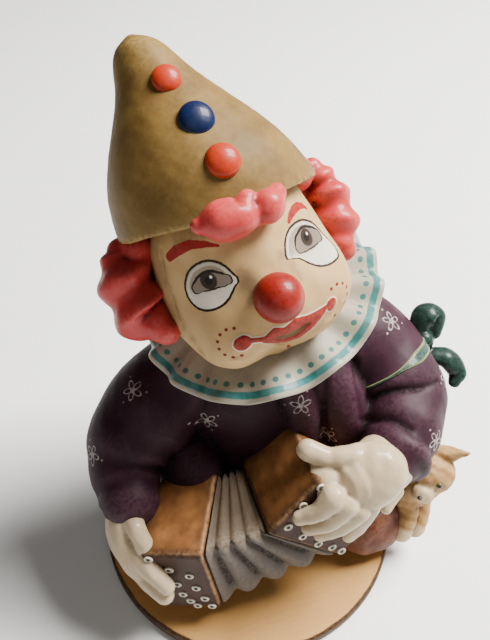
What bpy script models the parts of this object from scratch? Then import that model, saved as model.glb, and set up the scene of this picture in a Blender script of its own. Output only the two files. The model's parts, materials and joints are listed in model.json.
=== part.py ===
"""Clown figurine: a seated clown playing a concertina, cast as one piece, on a turned wooden plinth.

The frame has its origin at the centre of the plinth's underside, +Z up. The clown's chest faces -Y,
and the clown's left side is at +X. Lengths are in metres.
"""

import math

import bmesh
import bpy
import numpy as np
from mathutils import Matrix, Vector

# Driving dimensions
PLINTH_RADIUS = 0.060
PLINTH_THICKNESS = 0.005
PLINTH_TOP_ROUND = 0.0015
PLINTH_FOOT_ROUND = 0.0010
SEAT_GAP = 0.0003
FIGURE_HEIGHT = 0.190

# The figure is drawn on a grid with GRID units to its height, from the plinth to the tip of the hat
GRID = 190.0
UNIT = FIGURE_HEIGHT / GRID

# Fineness of the cast surface, as shares of the figure's height
CAST_VOXEL = FIGURE_HEIGHT * 0.0048
CAST_TRIANGLES = 7000
ROUND_SIDES = 28

# The head's place and the way it looks: thrown back, leaning to the clown's right
HEAD_CENTRE = (5.3, 8.9, 118.0)
HEAD_RIGHT = (0.974, 0.118, 0.194)
HEAD_UP = (-0.226, 0.543, 0.809)
HEAD_WIDTH = 57.0
BRIM_LIFT = 30.4
BRIM_TILT = 5.0
HAT_LENGTH = 55.0
HAT_RADIUS = 33.0
HAT_LEAN = -7.8

# The hat's outline: shares of its length, and of its radius there to the sides and to the front
HAT_OUTLINE = ((0.0, 0.98, 0.88), (0.22, 0.89, 0.85), (0.4, 0.73, 0.72), (0.56, 0.55, 0.55), (0.72, 0.375, 0.375),
               (0.92, 0.22, 0.22))

# The collar: a disc tilted up at the clown's left
RUFF_CENTRE = (12.5, 22.5, 100.0)
RUFF_RADIUS = 43.0
RUFF_RIGHT = (0.959, 0.0, 0.284)
RUFF_UP = (-0.284, 0.0, 0.959)
RUFF_WAVES = 15
RUFF_WAVE_HEIGHT = 1.7
RUFF_OUTLINE = ((0.25, 8.5), (0.55, 6.2), (0.8, 3.2), (0.95, 1.5), (1.0, 0.3), (1.0, -0.8),
                (0.95, -1.8), (0.8, -2.1), (0.55, -2.1), (0.25, -5.2))

# The concertina: an end in either hand, and the bellows between them
BOX_DEPTH = 35.0
BOX_HEIGHT = 37.5
BOX_ROUND = 2.2
RIGHT_END_LENGTH = 23.0
LEFT_END_LENGTH = 29.0
PLEATS = 6
PLEAT_DEPTH = 2.6
BELLOWS_INSET = 1.0


def vec(point):
    """A point as an array."""
    return np.array(point, dtype=float)


def unit(vector):
    """A vector scaled to length one."""
    return vec(vector) / np.linalg.norm(vector)


def axes_of(right, up):
    """Right, forward and up axes, square to each other, of a thing whose front looks along forward."""
    rise = unit(up)
    side = unit(vec(right) - rise * np.dot(right, rise))
    return side, np.cross(side, rise), rise


def smooth_row(rows, count):
    """A Catmull-Rom curve through rows of numbers, sampled at count places."""
    rows = vec(rows)
    padded = np.vstack([2 * rows[0] - rows[1], rows, 2 * rows[-1] - rows[-2]])
    places = np.linspace(0.0, len(rows) - 1.0, count)
    result = []
    for place in places:
        start = min(int(place), len(rows) - 2)
        t = place - start
        a, b, c, d = padded[start:start + 4]
        result.append(0.5 * (2 * b + (c - a) * t + (2 * a - 5 * b + 4 * c - d) * t ** 2
                             + (3 * b - 3 * c + d - a) * t ** 3))
    return np.array(result)


def skin(rings, start, end):
    """A closed mesh over a stack of rings, with a point at either end."""
    sides = len(rings[0])
    points = [vec(start)]
    for ring in rings:
        points.extend(ring)
    points.append(vec(end))
    faces = [(0, 1 + (side + 1) % sides, 1 + side) for side in range(sides)]
    for row in range(len(rings) - 1):
        low = 1 + row * sides
        high = low + sides
        for side in range(sides):
            after = (side + 1) % sides
            faces.append((low + side, low + after, high + after, high + side))
    last = 1 + (len(rings) - 1) * sides
    tip = len(points) - 1
    faces.extend((last + side, last + (side + 1) % sides, tip) for side in range(sides))
    return np.array(points), faces


def ball(centre, radii, right=(1, 0, 0), up=(0, 0, 1), sides=ROUND_SIDES):
    """An ellipsoid with its own right and up directions."""
    side, front, rise = axes_of(right, up)
    middle = vec(centre)
    rings = []
    for row in range(1, sides // 2):
        height = math.pi * row / (sides // 2)
        flat = math.sin(height)
        ring = []
        for step in range(sides):
            turn = 2 * math.pi * step / sides
            ring.append(middle + side * radii[0] * flat * math.cos(turn)
                        + front * radii[1] * flat * math.sin(turn)
                        - rise * radii[2] * math.cos(height))
        rings.append(ring)
    return skin(rings, middle - rise * radii[2], middle + rise * radii[2])


def limb(route, sides=20, steps=24, flat=1.0, flat_way=(0, 0, 1), folds=None):
    """A round-ended limb through rows of x, y, z and radius, flattened along flat_way.

    folds is (count, depth, slant, phase): shallow rings of cloth that run round the limb.
    """
    rows = smooth_row(route, steps)
    centres = rows[:, :3]
    radii = np.maximum(rows[:, 3], 0.3)
    tangents = np.gradient(centres, axis=0)
    tangents /= np.linalg.norm(tangents, axis=1)[:, None]
    stations = []
    for angle in (-1.25, -0.8, -0.4):
        stations.append((0, math.sin(angle), math.cos(angle)))
    stations.extend((index, 0.0, 1.0) for index in range(steps))
    for angle in (0.4, 0.8, 1.25):
        stations.append((steps - 1, math.sin(angle), math.cos(angle)))
    guide = vec(flat_way)
    rings = []
    for index, along, across in stations:
        ahead = tangents[index]
        thin = unit(guide - ahead * np.dot(guide, ahead))
        wide = np.cross(ahead, thin)
        middle = centres[index] + ahead * radii[index] * along
        ring = []
        for step in range(sides):
            turn = 2 * math.pi * step / sides
            size = radii[index] * across
            if folds:
                count, depth, slant, phase = folds
                wave = count * index / (steps - 1) + slant * math.sin(turn + phase)
                size *= 1 + depth * math.sin(2 * math.pi * wave)
            ring.append(middle + wide * size * math.cos(turn) + thin * size * flat * math.sin(turn))
        rings.append(ring)
    return skin(rings, centres[0] - tangents[0] * radii[0], centres[-1] + tangents[-1] * radii[-1])


def loft(centre, right, up, stations, sides=36, steps=26, lean=(0.0, 0.0)):
    """A body from stations of height, half width, front depth and back depth along its up axis."""
    side, front, rise = axes_of(right, up)
    rows = smooth_row(stations, steps)
    rings = []
    for height, width, fore, aft in rows[1:-1]:
        share = (height - rows[0][0]) / (rows[-1][0] - rows[0][0])
        middle = vec(centre) + rise * height + side * lean[0] * share + front * lean[1] * share
        ring = []
        for step in range(sides):
            turn = 2 * math.pi * step / sides
            depth = fore if math.sin(turn) > 0 else aft
            ring.append(middle + side * max(width, 0.4) * math.cos(turn)
                        + front * max(depth, 0.4) * math.sin(turn))
        rings.append(ring)
    low = vec(centre) + rise * rows[0][0]
    high = vec(centre) + rise * rows[-1][0] + side * lean[0] + front * lean[1]
    return skin(rings, low, high)


def swollen(mesh, centre, lumps):
    """A mesh pushed out from a centre by soft lumps of (place, radius, height)."""
    points, faces = mesh
    away = points - vec(centre)
    away /= np.maximum(np.linalg.norm(away, axis=1), 1e-6)[:, None]
    moved = points.copy()
    for place, radius, height in lumps:
        near = np.exp(-np.sum((points - vec(place)) ** 2, axis=1) / (radius * radius))
        moved += away * (near * height)[:, None]
    return moved, faces


class Frame:
    """A place with its own right, front and up axes."""

    def __init__(self, centre, right, up):
        self.centre = vec(centre)
        self.right, self.front, self.up = axes_of(right, up)

    def at(self, right, front, up):
        """A place on the grid from lengths along the frame's axes."""
        return self.centre + self.right * right + self.front * front + self.up * up

    def tilted(self, lift, angle):
        """A frame at a height above this one, with its left side turned down by an angle in degrees."""
        turn = math.radians(angle)
        up = self.up * math.cos(turn) + self.right * math.sin(turn)
        right = self.right * math.cos(turn) - self.up * math.sin(turn)
        return Frame(self.at(0, 0, lift), right, up)


HEAD = Frame(HEAD_CENTRE, HEAD_RIGHT, HEAD_UP)
BRIM = HEAD.tilted(BRIM_LIFT, BRIM_TILT)


def head():
    """The face and skull, with round cheeks, brow and chin."""
    half = HEAD_WIDTH / 2
    stations = [(-22, 0.5, 0.5, 0.5), (-19.5, 13, 14, 9), (-14, 20, 21, 15), (-7, 0.9 * half, 25, 21),
                (2, half, 26.5, 24), (12, 0.98 * half, 26, 25), (21, 0.93 * half, 25, 24.5),
                (29, 24, 23, 22), (36, 16, 15, 15), (39, 0.5, 0.5, 0.5)]
    lumps = [(HEAD.at(-19, 16, -12), 11, 4.6), (HEAD.at(22, 14, -7), 12, 4.6), (HEAD.at(15, 17, -18), 10, 0.6),
             (HEAD.at(-6, 19, -23), 11, -6.5),
             (HEAD.at(-16, 20, 11), 9, -1.6), (HEAD.at(16, 20, 11), 9, -1.6)]
    return swollen(loft(HEAD.centre, HEAD.right, HEAD.up, stations), HEAD.centre, lumps)


def hat():
    """The pointed hat, a soft cone with a blunt tip and a rim that stands out a little."""
    rim = HAT_RADIUS * 0.92
    stations = [(-1.2, rim, HAT_RADIUS * 0.82, rim)]
    for share, reach, fore in HAT_OUTLINE:
        stations.append((HAT_LENGTH * share, HAT_RADIUS * reach, HAT_RADIUS * fore, HAT_RADIUS * reach))
    stations.append((HAT_LENGTH, 0.5, 0.5, 0.5))
    return loft(BRIM.centre, BRIM.right, BRIM.up, stations, lean=(HAT_LEAN, 0.0), steps=22)


def hat_place(turn, height):
    """A place on the hat's surface, and the way out of it, from a turn to the right and a height."""
    share = height / HAT_LENGTH
    shares, _, fores = zip(*HAT_OUTLINE)
    reach = HAT_RADIUS * float(np.interp(share, shares, fores))
    angle = math.radians(turn)
    out = BRIM.right * math.sin(angle) + BRIM.front * math.cos(angle)
    return BRIM.at(HAT_LEAN * share, 0, height) + out * reach, out


def hat_dots():
    """Three domed buttons down the front of the hat."""
    forms = []
    for turn, height, radius in ((4, 38.8, 4.3), (4, 25.8, 5.2), (3, 13.2, 5.0)):
        place, out = hat_place(turn, height)
        facing = out + BRIM.up * 0.35
        forms.append(ball(place, (radius, radius, radius * 0.55), right=BRIM.right, up=facing))
    return forms


def nose():
    """The round nose."""
    return ball(HEAD.at(-0.5, 28.5, 2.3), (7.4, 7.4, 7.4))


def curl(side, route, folds):
    """A hanging curl beside the head, from rows of reach to the side, front, height and radius."""
    return limb([tuple(HEAD.at(side * reach, front, lift)) + (radius,) for reach, front, lift, radius in route],
                folds=folds, steps=36)


def hair():
    """A twisted curl at either side, the roll that joins them behind, and the tuft over the forehead."""
    forms = [curl(-1, [(33, -4, 30, 4), (34.5, -3, 25, 7.8), (35.5, -2, 16.5, 8.8), (35, -1, 8.5, 8.2),
                       (31, 3, 2.5, 4.5)], folds=(3.2, 0.13, 0.3, 0.4)),
             curl(1, [(36, -6, 27, 3.6), (37, -6, 21.5, 5.2), (37.3, -5, 15, 6.4), (36, -4, 6, 6.6),
                      (34, -3, -1.5, 4.2)], folds=(3.6, 0.13, 0.3, 2.4))]
    for side in (-1, 1):
        forms.append(ball(HEAD.at(side * 32, -13, 20), (8, 7, 9), right=HEAD.right, up=HEAD.up))
        forms.append(ball(HEAD.at(side * 30, -12, 8), (8, 8, 8), right=HEAD.right, up=HEAD.up))
        forms.append(ball(HEAD.at(side * 28.5, -3, 28.5), (6, 7, 6.5), right=HEAD.right, up=HEAD.up))
    behind = [(-31, -12, 14, 7), (-19, -25, 13, 7.5), (0, -29, 12, 8), (19, -25, 13, 7.5), (31, -12, 14, 7)]
    forms.append(curl(1, behind, folds=(7, 0.1, 0.2, 0.4)))
    forms.append(curl(1, [(-12.5, 26, 30.3, 2.6), (-7.5, 27, 29.3, 6), (-1, 27.5, 28.3, 5.9), (2, 27, 31, 3.8)],
                      folds=(1.5, 0.02, 0.2, 0.4)))
    forms.append(curl(1, [(3.4, 27.5, 26, 3.2), (7, 28, 27, 5), (11, 26, 29, 3.4)], folds=(1.5, 0.02, 0.2, 0.4)))
    return forms


def ruff(sides=120):
    """The wide collar: a wavy disc with a rounded rim."""
    side, front, rise = axes_of(RUFF_RIGHT, RUFF_UP)
    centre = vec(RUFF_CENTRE)
    rings = []
    for reach, lift in RUFF_OUTLINE:
        ring = []
        for step in range(sides):
            turn = 2 * math.pi * step / sides
            wave = math.sin(RUFF_WAVES * turn + 1.2 * math.sin(2 * turn))
            radius = RUFF_RADIUS * reach * (1 + 0.02 * wave)
            height = lift + RUFF_WAVE_HEIGHT * reach ** 1.5 * wave
            ring.append(centre + side * radius * math.cos(turn) + front * radius * math.sin(turn)
                        + rise * height)
        rings.append(ring)
    return skin(rings, centre + rise * 7, centre - rise * 6)


def torso():
    """The tunic over chest and belly, down to its hem on the thighs."""
    stations = [(0, 20, 18, 18), (4, 31, 26, 26), (14, 35, 29, 28), (24, 33, 28, 26), (40, 32, 28, 23),
                (58, 34, 29, 23), (72, 36, 28, 22), (84, 27, 24, 20), (94, 18, 16, 15), (102, 8, 8, 8)]
    return loft((9, 21, -2), (1, 0, 0), (0, 0, 1), stations, lean=(5.0, 0.0))


def neck():
    """The neck, which joins the head to the body inside the collar."""
    return limb([(9, 21, 84, 14), tuple(HEAD.at(0, 0, -8)) + (14,)])


def chest_folds():
    """The gathered cloth between the collar and the left sleeve."""
    return [limb([(24, 6, 86, 9), (31, -4, 74, 10), (35, -10, 60, 10), (34, -8, 48, 9)]),
            limb([(14, 0, 84, 7), (18, -6, 72, 7), (20, -8, 58, 7)])]


def side_folds():
    """The cloth of the tunic that fills in under either arm."""
    return [ball((38, 4, 34), (19, 20, 19)), ball((-22, 7, 38), (14, 18, 18))]


def cuff(centre, way, radius, thickness=3.2, sides=32, around=12):
    """A rolled cuff: a thick closed ring round the wrist, made solid by the wrist inside it."""
    side, front, rise = axes_of(np.cross(unit(way), (0.3, 0.2, 0.9)), way)
    rings = []
    for step in range(around):
        turn = math.pi * (step + 0.5) / around
        reach = radius + thickness * math.sin(turn)
        lift = -thickness * math.cos(turn) * 1.25
        rings.append([vec(centre) + rise * lift + (side * math.cos(angle) + front * math.sin(angle)) * reach
                      for angle in (2 * math.pi * place / sides for place in range(sides))])
    return skin(rings, vec(centre) - rise * thickness, vec(centre) + rise * thickness)


def cuffs():
    """The rolled cuffs of both sleeves."""
    return [cuff((-48.5, -8.5, 47.5), (-0.25, -0.9, -0.35), 9.0, 2.2),
            cuff((45.0, -30.0, 59.5), (-0.72, -0.66, -0.1), 11.0, 2.6)]


def right_arm():
    """The sleeve at the viewer's left."""
    return limb([(-10, 24, 76, 17), (-24, 20, 68, 18), (-38.5, 13.5, 59.3, 17.5), (-46, 4.9, 52.5, 14.2),
                 (-47.7, -2.8, 49.2, 11.8), (-48, -8, 48, 10.8)], folds=(4, 0.025, 0.2, 0.8), steps=30)


def left_arm():
    """The sleeve at the viewer's right."""
    return limb([(30, 24, 84, 18), (44, 17, 79, 18.5), (55, 3, 70, 18.5), (57, -11, 63, 17),
                 (51, -22, 61, 14.8), (45, -29, 60, 12.5)], folds=(4, 0.03, 0.2, 0.8), steps=30)


class EndBox:
    """One wooden end of the concertina, from its upper front corner at the bellows."""

    def __init__(self, corner, outward, back, length):
        self.corner = vec(corner)
        self.out = unit(outward)
        self.back = unit(vec(back) - self.out * np.dot(back, self.out))
        down = np.cross(self.out, self.back)
        self.down = down if down[2] < 0 else -down
        self.length = length

    def at(self, out, back, down):
        """A place from lengths outward, backward and downward of the corner."""
        return self.corner + self.out * out + self.back * back + self.down * down

    def solid(self):
        """The box as eight corners and six faces."""
        points = [self.at(out, back, down) for down in (0.0, BOX_HEIGHT)
                  for back in (0.0, BOX_DEPTH) for out in (0.0, self.length)]
        faces = [(0, 1, 3, 2), (4, 6, 7, 5), (0, 4, 5, 1), (2, 3, 7, 6), (0, 2, 6, 4), (1, 5, 7, 3)]
        return np.array(points), faces


RIGHT_END = EndBox((-30.3, -37.5, 48.1), (-0.884, 0.436, -0.168), (0.45, 0.892, -0.046), RIGHT_END_LENGTH)
LEFT_END = EndBox((-7.0, -37.7, 47.3), (0.672, 0.067, 0.738), (0.062, 0.988, -0.145), LEFT_END_LENGTH)


def bellows():
    """The pleated bellows between the two boxes, square rings that turn from one end to the other."""
    rings = []
    for index in range(2 * PLEATS + 1):
        share = index / (2 * PLEATS)
        near = BELLOWS_INSET + (PLEAT_DEPTH if index % 2 else 0.0)
        far = BOX_DEPTH - near
        low = BOX_HEIGHT - near
        ring = []
        for back, down in ((near, near), (far, near), (far, low), (near, low)):
            start = RIGHT_END.at(-0.2, back, down)
            end = LEFT_END.at(-0.2, back, down)
            ring.append(start * (1 - share) + end * share)
        rings.append(ring)
    return skin(rings, np.mean(rings[0], axis=0), np.mean(rings[-1], axis=0))


def concertina():
    """The two end boxes and the bellows."""
    return [RIGHT_END.solid(), LEFT_END.solid(), bellows()]


def finger(box, route):
    """A finger on the front face of a box, from rows of outward, downward, lift and radius."""
    return limb([tuple(box.at(out, -lift, down)) + (radius,) for out, down, lift, radius in route],
                sides=14, steps=14)


def left_glove():
    """The glove at the viewer's right, over the outer end and front of its box."""
    return [ball((29, -36, 62), (16, 9, 12), right=(0.85, -0.2, 0.35), up=(-0.2, 0.7, 0.6)),
            limb([(44, -30, 60, 11), (36, -34, 62, 11), (28, -36, 63, 10)], flat=0.85, flat_way=(0, -0.6, 0.8)),
            ball(LEFT_END.at(27, 6, 14), (11, 9, 14), right=LEFT_END.back, up=LEFT_END.down),
            finger(LEFT_END, [(27, 6, 4, 4.6), (20, 5, 4.4, 3.4), (13.5, 3, 2.4, 2.7)]),
            finger(LEFT_END, [(27, 12, 5, 4.6), (18, 12, 5, 3.4), (10.5, 10, 2.4, 2.7)]),
            finger(LEFT_END, [(27, 18, 5, 4.6), (18, 18, 5, 3.4), (9.5, 17, 2.4, 2.7)]),
            finger(LEFT_END, [(29, 22, 4, 4.4), (20, 26, 4, 3.2), (12.5, 29, 2.2, 2.5)]),
            limb([(33, -33, 67, 6.5), (25, -31, 69, 4.6), (18.5, -28.5, 69, 3.7), (12.5, -24.5, 71, 4.0)],
                 sides=14),
            limb([(41.5, -40.5, 53, 2.2), (35.5, -43.5, 50.5, 2.4)], sides=12, steps=8)]


def right_glove():
    """The glove at the viewer's left, over the outer end of its box."""
    return [limb([(-49, -8, 46, 8.6), (-52, -15, 40, 8.4), (-51, -23, 34, 7), (-48.5, -28, 30, 5.5)],
                 flat=0.85, flat_way=RIGHT_END.out),
            limb([(-50.5, -20, 39, 6), (-47.5, -30, 36, 3.8), (-43.5, -36.5, 32, 2.9)], sides=14),
            limb([(-50.5, -23, 33, 6), (-48, -31, 29, 4.4), (-44.8, -36.5, 26, 3.3)], sides=14),
            limb([(-50, -13, 46, 5.5), (-48.8, -19.5, 47.5, 3.6), (-47.5, -25, 43.5, 3.2)], sides=14)]


def trousers():
    """Seat, thighs and knees on the plinth."""
    return [ball((9, 22, 10), (38, 28, 17)),
            limb([(24, 14, 12, 15), (35, -7, 13, 16), (41, -25, 12.5, 16)], folds=(3, 0.03, 0.2, 0.4)),
            limb([(-8, 14, 12, 15), (-22, -4, 12, 15), (-26, -20, 11, 14)], folds=(3, 0.03, 0.2, 0.4)),
            limb([(34, 10, 7, 10), (30, 34, 6, 9), (22, 44, 5, 8)]),
            limb([(-18, 10, 7, 10), (-14, 34, 6, 9), (-8, 44, 5, 8)])]


def shoes():
    """The toes of the shoes behind the seat."""
    return [ball((24, 49, 5), (9, 7, 8)), ball((-8, 49, 5), (9, 7, 8))]


def kitten():
    """The kitten that sits against the left knee and looks out under the sleeve."""
    head_at = vec((64.5, -29.5, 37.5))
    forms = [ball((58, -14, 20), (11, 17, 15)),
             limb([(57, -16, 26, 10), (58, -25, 25, 9.5), (62, -29, 31, 8)]),
             ball(head_at, (9.5, 9, 8.2)),
             ball(head_at + vec((-6.0, -6.5, -3)), (4.6, 4.6, 3.6)),
             limb([(57, -28, 24, 5.5), (55, -34, 17, 4.4), (52, -37, 12, 4.4)], sides=14),
             limb([(64, -27, 22, 5), (62, -33, 14, 4.2), (59, -36, 9, 4.2)], sides=14)]
    for base, tip in (((69, -27, 43), (77, -33, 48.5)), ((60, -25, 43), (62, -24, 51))):
        forms.append(limb([base + (4.2,), tuple((vec(base) + vec(tip)) / 2) + (2.6,), tip + (0.6,)],
                          sides=12, steps=8))
    return forms


def bow():
    """The ribbon round the upper arm, with its loops and knot."""
    forms = [limb([(70, 8, 78, 3.5), (76, 10, 82, 5), (80, 9, 80, 4), (74, 6, 74, 3)], sides=12),
             limb([(72, 0, 70, 3.5), (80, -4, 70, 5), (82, -8, 66, 4), (74, -4, 65, 3)], sides=12),
             ball((73, 4, 75), (4, 4, 4))]
    return forms


def figure_forms():
    """Every form of the figure by region, in grid units above the plinth."""
    return {
        "hat": [hat()],
        "hat_dots": hat_dots(),
        "head": [head(), neck()],
        "nose": [nose()],
        "hair": hair(),
        "ruff": [ruff()],
        "tunic": [torso(), right_arm(), left_arm()] + chest_folds() + side_folds() + cuffs(),
        "gloves": left_glove() + right_glove(),
        "concertina": concertina(),
        "trousers": trousers(),
        "shoes": shoes(),
        "kitten": kitten(),
        "bow": bow(),
    }


def painted(name, colour, roughness):
    """A material of one painted or varnished surface."""
    material = bpy.data.materials.new(name)
    material.use_nodes = True
    shader = material.node_tree.nodes["Principled BSDF"]
    shader.inputs["Base Color"].default_value = (*colour, 1.0)
    shader.inputs["Roughness"].default_value = roughness
    shader.inputs["Metallic"].default_value = 0.0
    return material


def helper(name, forms):
    """An object that holds closed forms, in metres above the plinth, and isn't built itself."""
    mesh = bpy.data.meshes.new(name)
    points = []
    faces = []
    for form_points, form_faces in forms:
        start = len(points)
        points.extend(tuple(point * UNIT) for point in form_points)
        faces.extend(tuple(start + corner for corner in face) for face in form_faces)
    mesh.from_pydata(points, [], faces)
    work = bmesh.new()
    work.from_mesh(mesh)
    bmesh.ops.recalc_face_normals(work, faces=work.faces)
    work.to_mesh(mesh)
    work.free()
    thing = bpy.data.objects.new(name, mesh)
    bpy.context.collection.objects.link(thing)
    return thing


def settled(thing):
    """The object with its modifiers worked into its mesh."""
    graph = bpy.context.evaluated_depsgraph_get()
    mesh = bpy.data.meshes.new_from_object(thing.evaluated_get(graph))
    thing.modifiers.clear()
    thing.data = mesh
    return thing


def joined(base, others, operation="UNION"):
    """The base with the others united with it, or cut from it."""
    for other in others:
        cut = base.modifiers.new(other.name, "BOOLEAN")
        cut.operation = operation
        cut.solver = "EXACT"
        cut.object = other
        settled(base)
        bpy.data.objects.remove(other)
    return base


def cast_body(forms):
    """The soft modelled forms as one skin, thinned to a modest number of faces."""
    body = helper("cast_body", forms)
    remesh = body.modifiers.new("one_skin", "REMESH")
    remesh.mode = "VOXEL"
    remesh.voxel_size = CAST_VOXEL
    smooth = body.modifiers.new("soften", "SMOOTH")
    smooth.iterations = 2
    settled(body)
    body.data.calc_loop_triangles()
    thin = body.modifiers.new("thin", "DECIMATE")
    thin.ratio = min(1.0, CAST_TRIANGLES / len(body.data.loop_triangles))
    return settled(body)


def crisp_piece(form):
    """A piece of the concertina with its corners rounded over."""
    piece = helper("concertina_piece", [form])
    if len(piece.data.polygons) == 6:
        bevel = piece.modifiers.new("rounded", "BEVEL")
        bevel.width = BOX_ROUND * UNIT
        bevel.segments = 2
    return settled(piece)


def figure():
    """The cast figure, flat where it is seated on the plinth."""
    forms = figure_forms()
    crisp = forms.pop("concertina")
    body = cast_body([form for group in forms.values() for form in group])
    joined(body, [crisp_piece(form) for form in crisp])
    bpy.ops.mesh.primitive_cube_add(size=1.0)
    floor = bpy.context.object
    depth = 30 * UNIT
    floor.data.transform(Matrix.Diagonal((PLINTH_RADIUS * 4, PLINTH_RADIUS * 4, depth, 1.0)))
    floor.data.transform(Matrix.Translation((0.0, 0.0, -depth / 2)))
    joined(body, [floor], "DIFFERENCE")
    body.name = "figure"
    body.data.transform(Matrix.Translation((0.0, 0.0, PLINTH_THICKNESS + SEAT_GAP)))
    body.data.materials.clear()
    body.data.materials.append(painted("painted_ceramic", (0.34, 0.24, 0.30), 0.35))
    body.data.shade_smooth()
    body.data.set_sharp_from_angle(angle=math.radians(45))
    return body


def plinth():
    """The turned disc, with a round top edge and a small round at its foot."""
    work = bmesh.new()
    bmesh.ops.create_cone(work, cap_ends=True, segments=72, radius1=PLINTH_RADIUS, radius2=PLINTH_RADIUS,
                          depth=PLINTH_THICKNESS)
    bmesh.ops.translate(work, vec=Vector((0.0, 0.0, PLINTH_THICKNESS / 2)), verts=work.verts)
    for level, size, pieces in ((PLINTH_THICKNESS, PLINTH_TOP_ROUND, 4), (0.0, PLINTH_FOOT_ROUND, 2)):
        edges = [edge for edge in work.edges
                 if all(abs(corner.co.z - level) < 1e-6 for corner in edge.verts)]
        bmesh.ops.bevel(work, geom=edges, offset=size, offset_type="OFFSET", segments=pieces,
                        profile=0.5, affect="EDGES", clamp_overlap=True)
    mesh = bpy.data.meshes.new("plinth")
    work.to_mesh(mesh)
    work.free()
    disc = bpy.data.objects.new("plinth", mesh)
    bpy.context.collection.objects.link(disc)
    mesh.materials.append(painted("varnished_wood", (0.62, 0.43, 0.22), 0.4))
    mesh.shade_smooth()
    mesh.set_sharp_from_angle(angle=math.radians(40))
    return disc


def main():
    """Clear the scene and build the two pieces."""
    for thing in list(bpy.data.objects):
        bpy.data.objects.remove(thing)
    plinth()
    figure()


if __name__ == "__main__":
    main()
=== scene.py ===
"""Clown figurine: painted glazed ceramic on a varnished wooden plinth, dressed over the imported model.

The figure is modelled in millimetres above the plinth's top. A piece's mesh is moved to metres in the
row's frame when it is made, so its object stays at the origin.
"""

import logging
import math
from dataclasses import dataclass, field
from enum import Enum
from typing import Iterable, Optional, Sequence, Union

import bmesh
import bpy
import numpy as np
from mathutils import Matrix, Vector
from mathutils.bvhtree import BVHTree
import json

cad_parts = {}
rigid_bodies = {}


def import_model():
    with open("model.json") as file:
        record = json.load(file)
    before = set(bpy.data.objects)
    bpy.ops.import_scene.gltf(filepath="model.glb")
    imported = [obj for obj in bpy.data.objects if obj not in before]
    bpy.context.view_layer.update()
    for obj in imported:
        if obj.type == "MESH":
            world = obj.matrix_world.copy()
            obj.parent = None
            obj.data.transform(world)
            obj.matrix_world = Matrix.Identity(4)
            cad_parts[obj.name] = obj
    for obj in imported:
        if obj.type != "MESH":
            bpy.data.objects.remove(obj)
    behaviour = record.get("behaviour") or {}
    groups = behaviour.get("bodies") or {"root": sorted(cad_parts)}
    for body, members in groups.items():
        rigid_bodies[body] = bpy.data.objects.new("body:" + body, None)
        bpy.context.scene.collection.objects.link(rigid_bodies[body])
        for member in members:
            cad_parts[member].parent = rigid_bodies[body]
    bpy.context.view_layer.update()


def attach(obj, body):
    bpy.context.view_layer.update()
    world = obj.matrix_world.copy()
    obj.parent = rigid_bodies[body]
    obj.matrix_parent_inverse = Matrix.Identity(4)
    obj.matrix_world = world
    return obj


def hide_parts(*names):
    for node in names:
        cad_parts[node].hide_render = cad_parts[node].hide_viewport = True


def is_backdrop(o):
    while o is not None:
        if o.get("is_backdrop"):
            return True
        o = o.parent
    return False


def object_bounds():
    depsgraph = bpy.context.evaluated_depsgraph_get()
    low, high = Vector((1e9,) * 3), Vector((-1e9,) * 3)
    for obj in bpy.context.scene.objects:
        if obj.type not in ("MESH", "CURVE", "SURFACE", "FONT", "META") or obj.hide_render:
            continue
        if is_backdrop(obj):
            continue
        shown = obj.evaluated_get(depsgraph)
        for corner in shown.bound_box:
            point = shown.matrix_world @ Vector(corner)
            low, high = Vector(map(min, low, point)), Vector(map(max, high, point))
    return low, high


LOG = logging.getLogger("clown_figurine")

Array = np.ndarray
Row = Sequence[float]
Pair = tuple[float, float]
Point = tuple[float, float, float]
Colour = tuple[float, float, float]
Thing = bpy.types.Object
Material = bpy.types.Material
Tree = bpy.types.NodeTree
Node = bpy.types.Node
Socket = bpy.types.NodeSocket
Value = Union[float, tuple, Socket]
Inputs = dict[Union[str, int], Value]

MM = 0.001
PLINTH_TOP = 5.3
COAT_ROUGHNESS = 0.09
PAINT_SPECULAR = 0.16
PAINT_THICKNESS = 0.0012
CERAMIC = "painted_ceramic"
WOOD = "varnished_wood"


class Side(Enum):
    """The clown's own side of the body, and its sign along the head's right axis."""

    RIGHT = -1
    LEFT = 1


class Gloss(Enum):
    """How a surface is finished: its roughness and the weight of its clear coat."""

    SATIN = (0.56, 0.0)
    GLAZE = (0.46, 0.14)
    PORCELAIN = (0.38, 0.26)


# Shapes


@dataclass
class Form:
    """A closed shape: its points in millimetres above the plinth, and its faces."""

    points: Array
    faces: list[tuple[int, ...]]


def vec(point: Row) -> Array:
    """A point as an array."""
    return np.array(point, dtype=float)


def unit(vector: Row) -> Array:
    """A vector scaled to length one."""
    return vec(vector) / np.linalg.norm(vector)


def lengths(rows: Array) -> Array:
    """The length of each row."""
    return np.linalg.norm(rows, axis=1)


def full_turn(sides: int) -> Array:
    """Even angles round a full turn."""
    return np.linspace(0, 2 * math.pi, sides, endpoint=False)


def axes_of(right: Row, up: Row) -> tuple[Array, Array, Array]:
    """Right, forward and up axes, square to each other.

    Args:
        right: A direction near the right axis.
        up: The up axis.

    Returns:
        The three unit axes; the front looks along the second.
    """
    rise = unit(up)
    side = unit(vec(right) - rise * np.dot(right, rise))
    return side, np.cross(side, rise), rise


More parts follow.
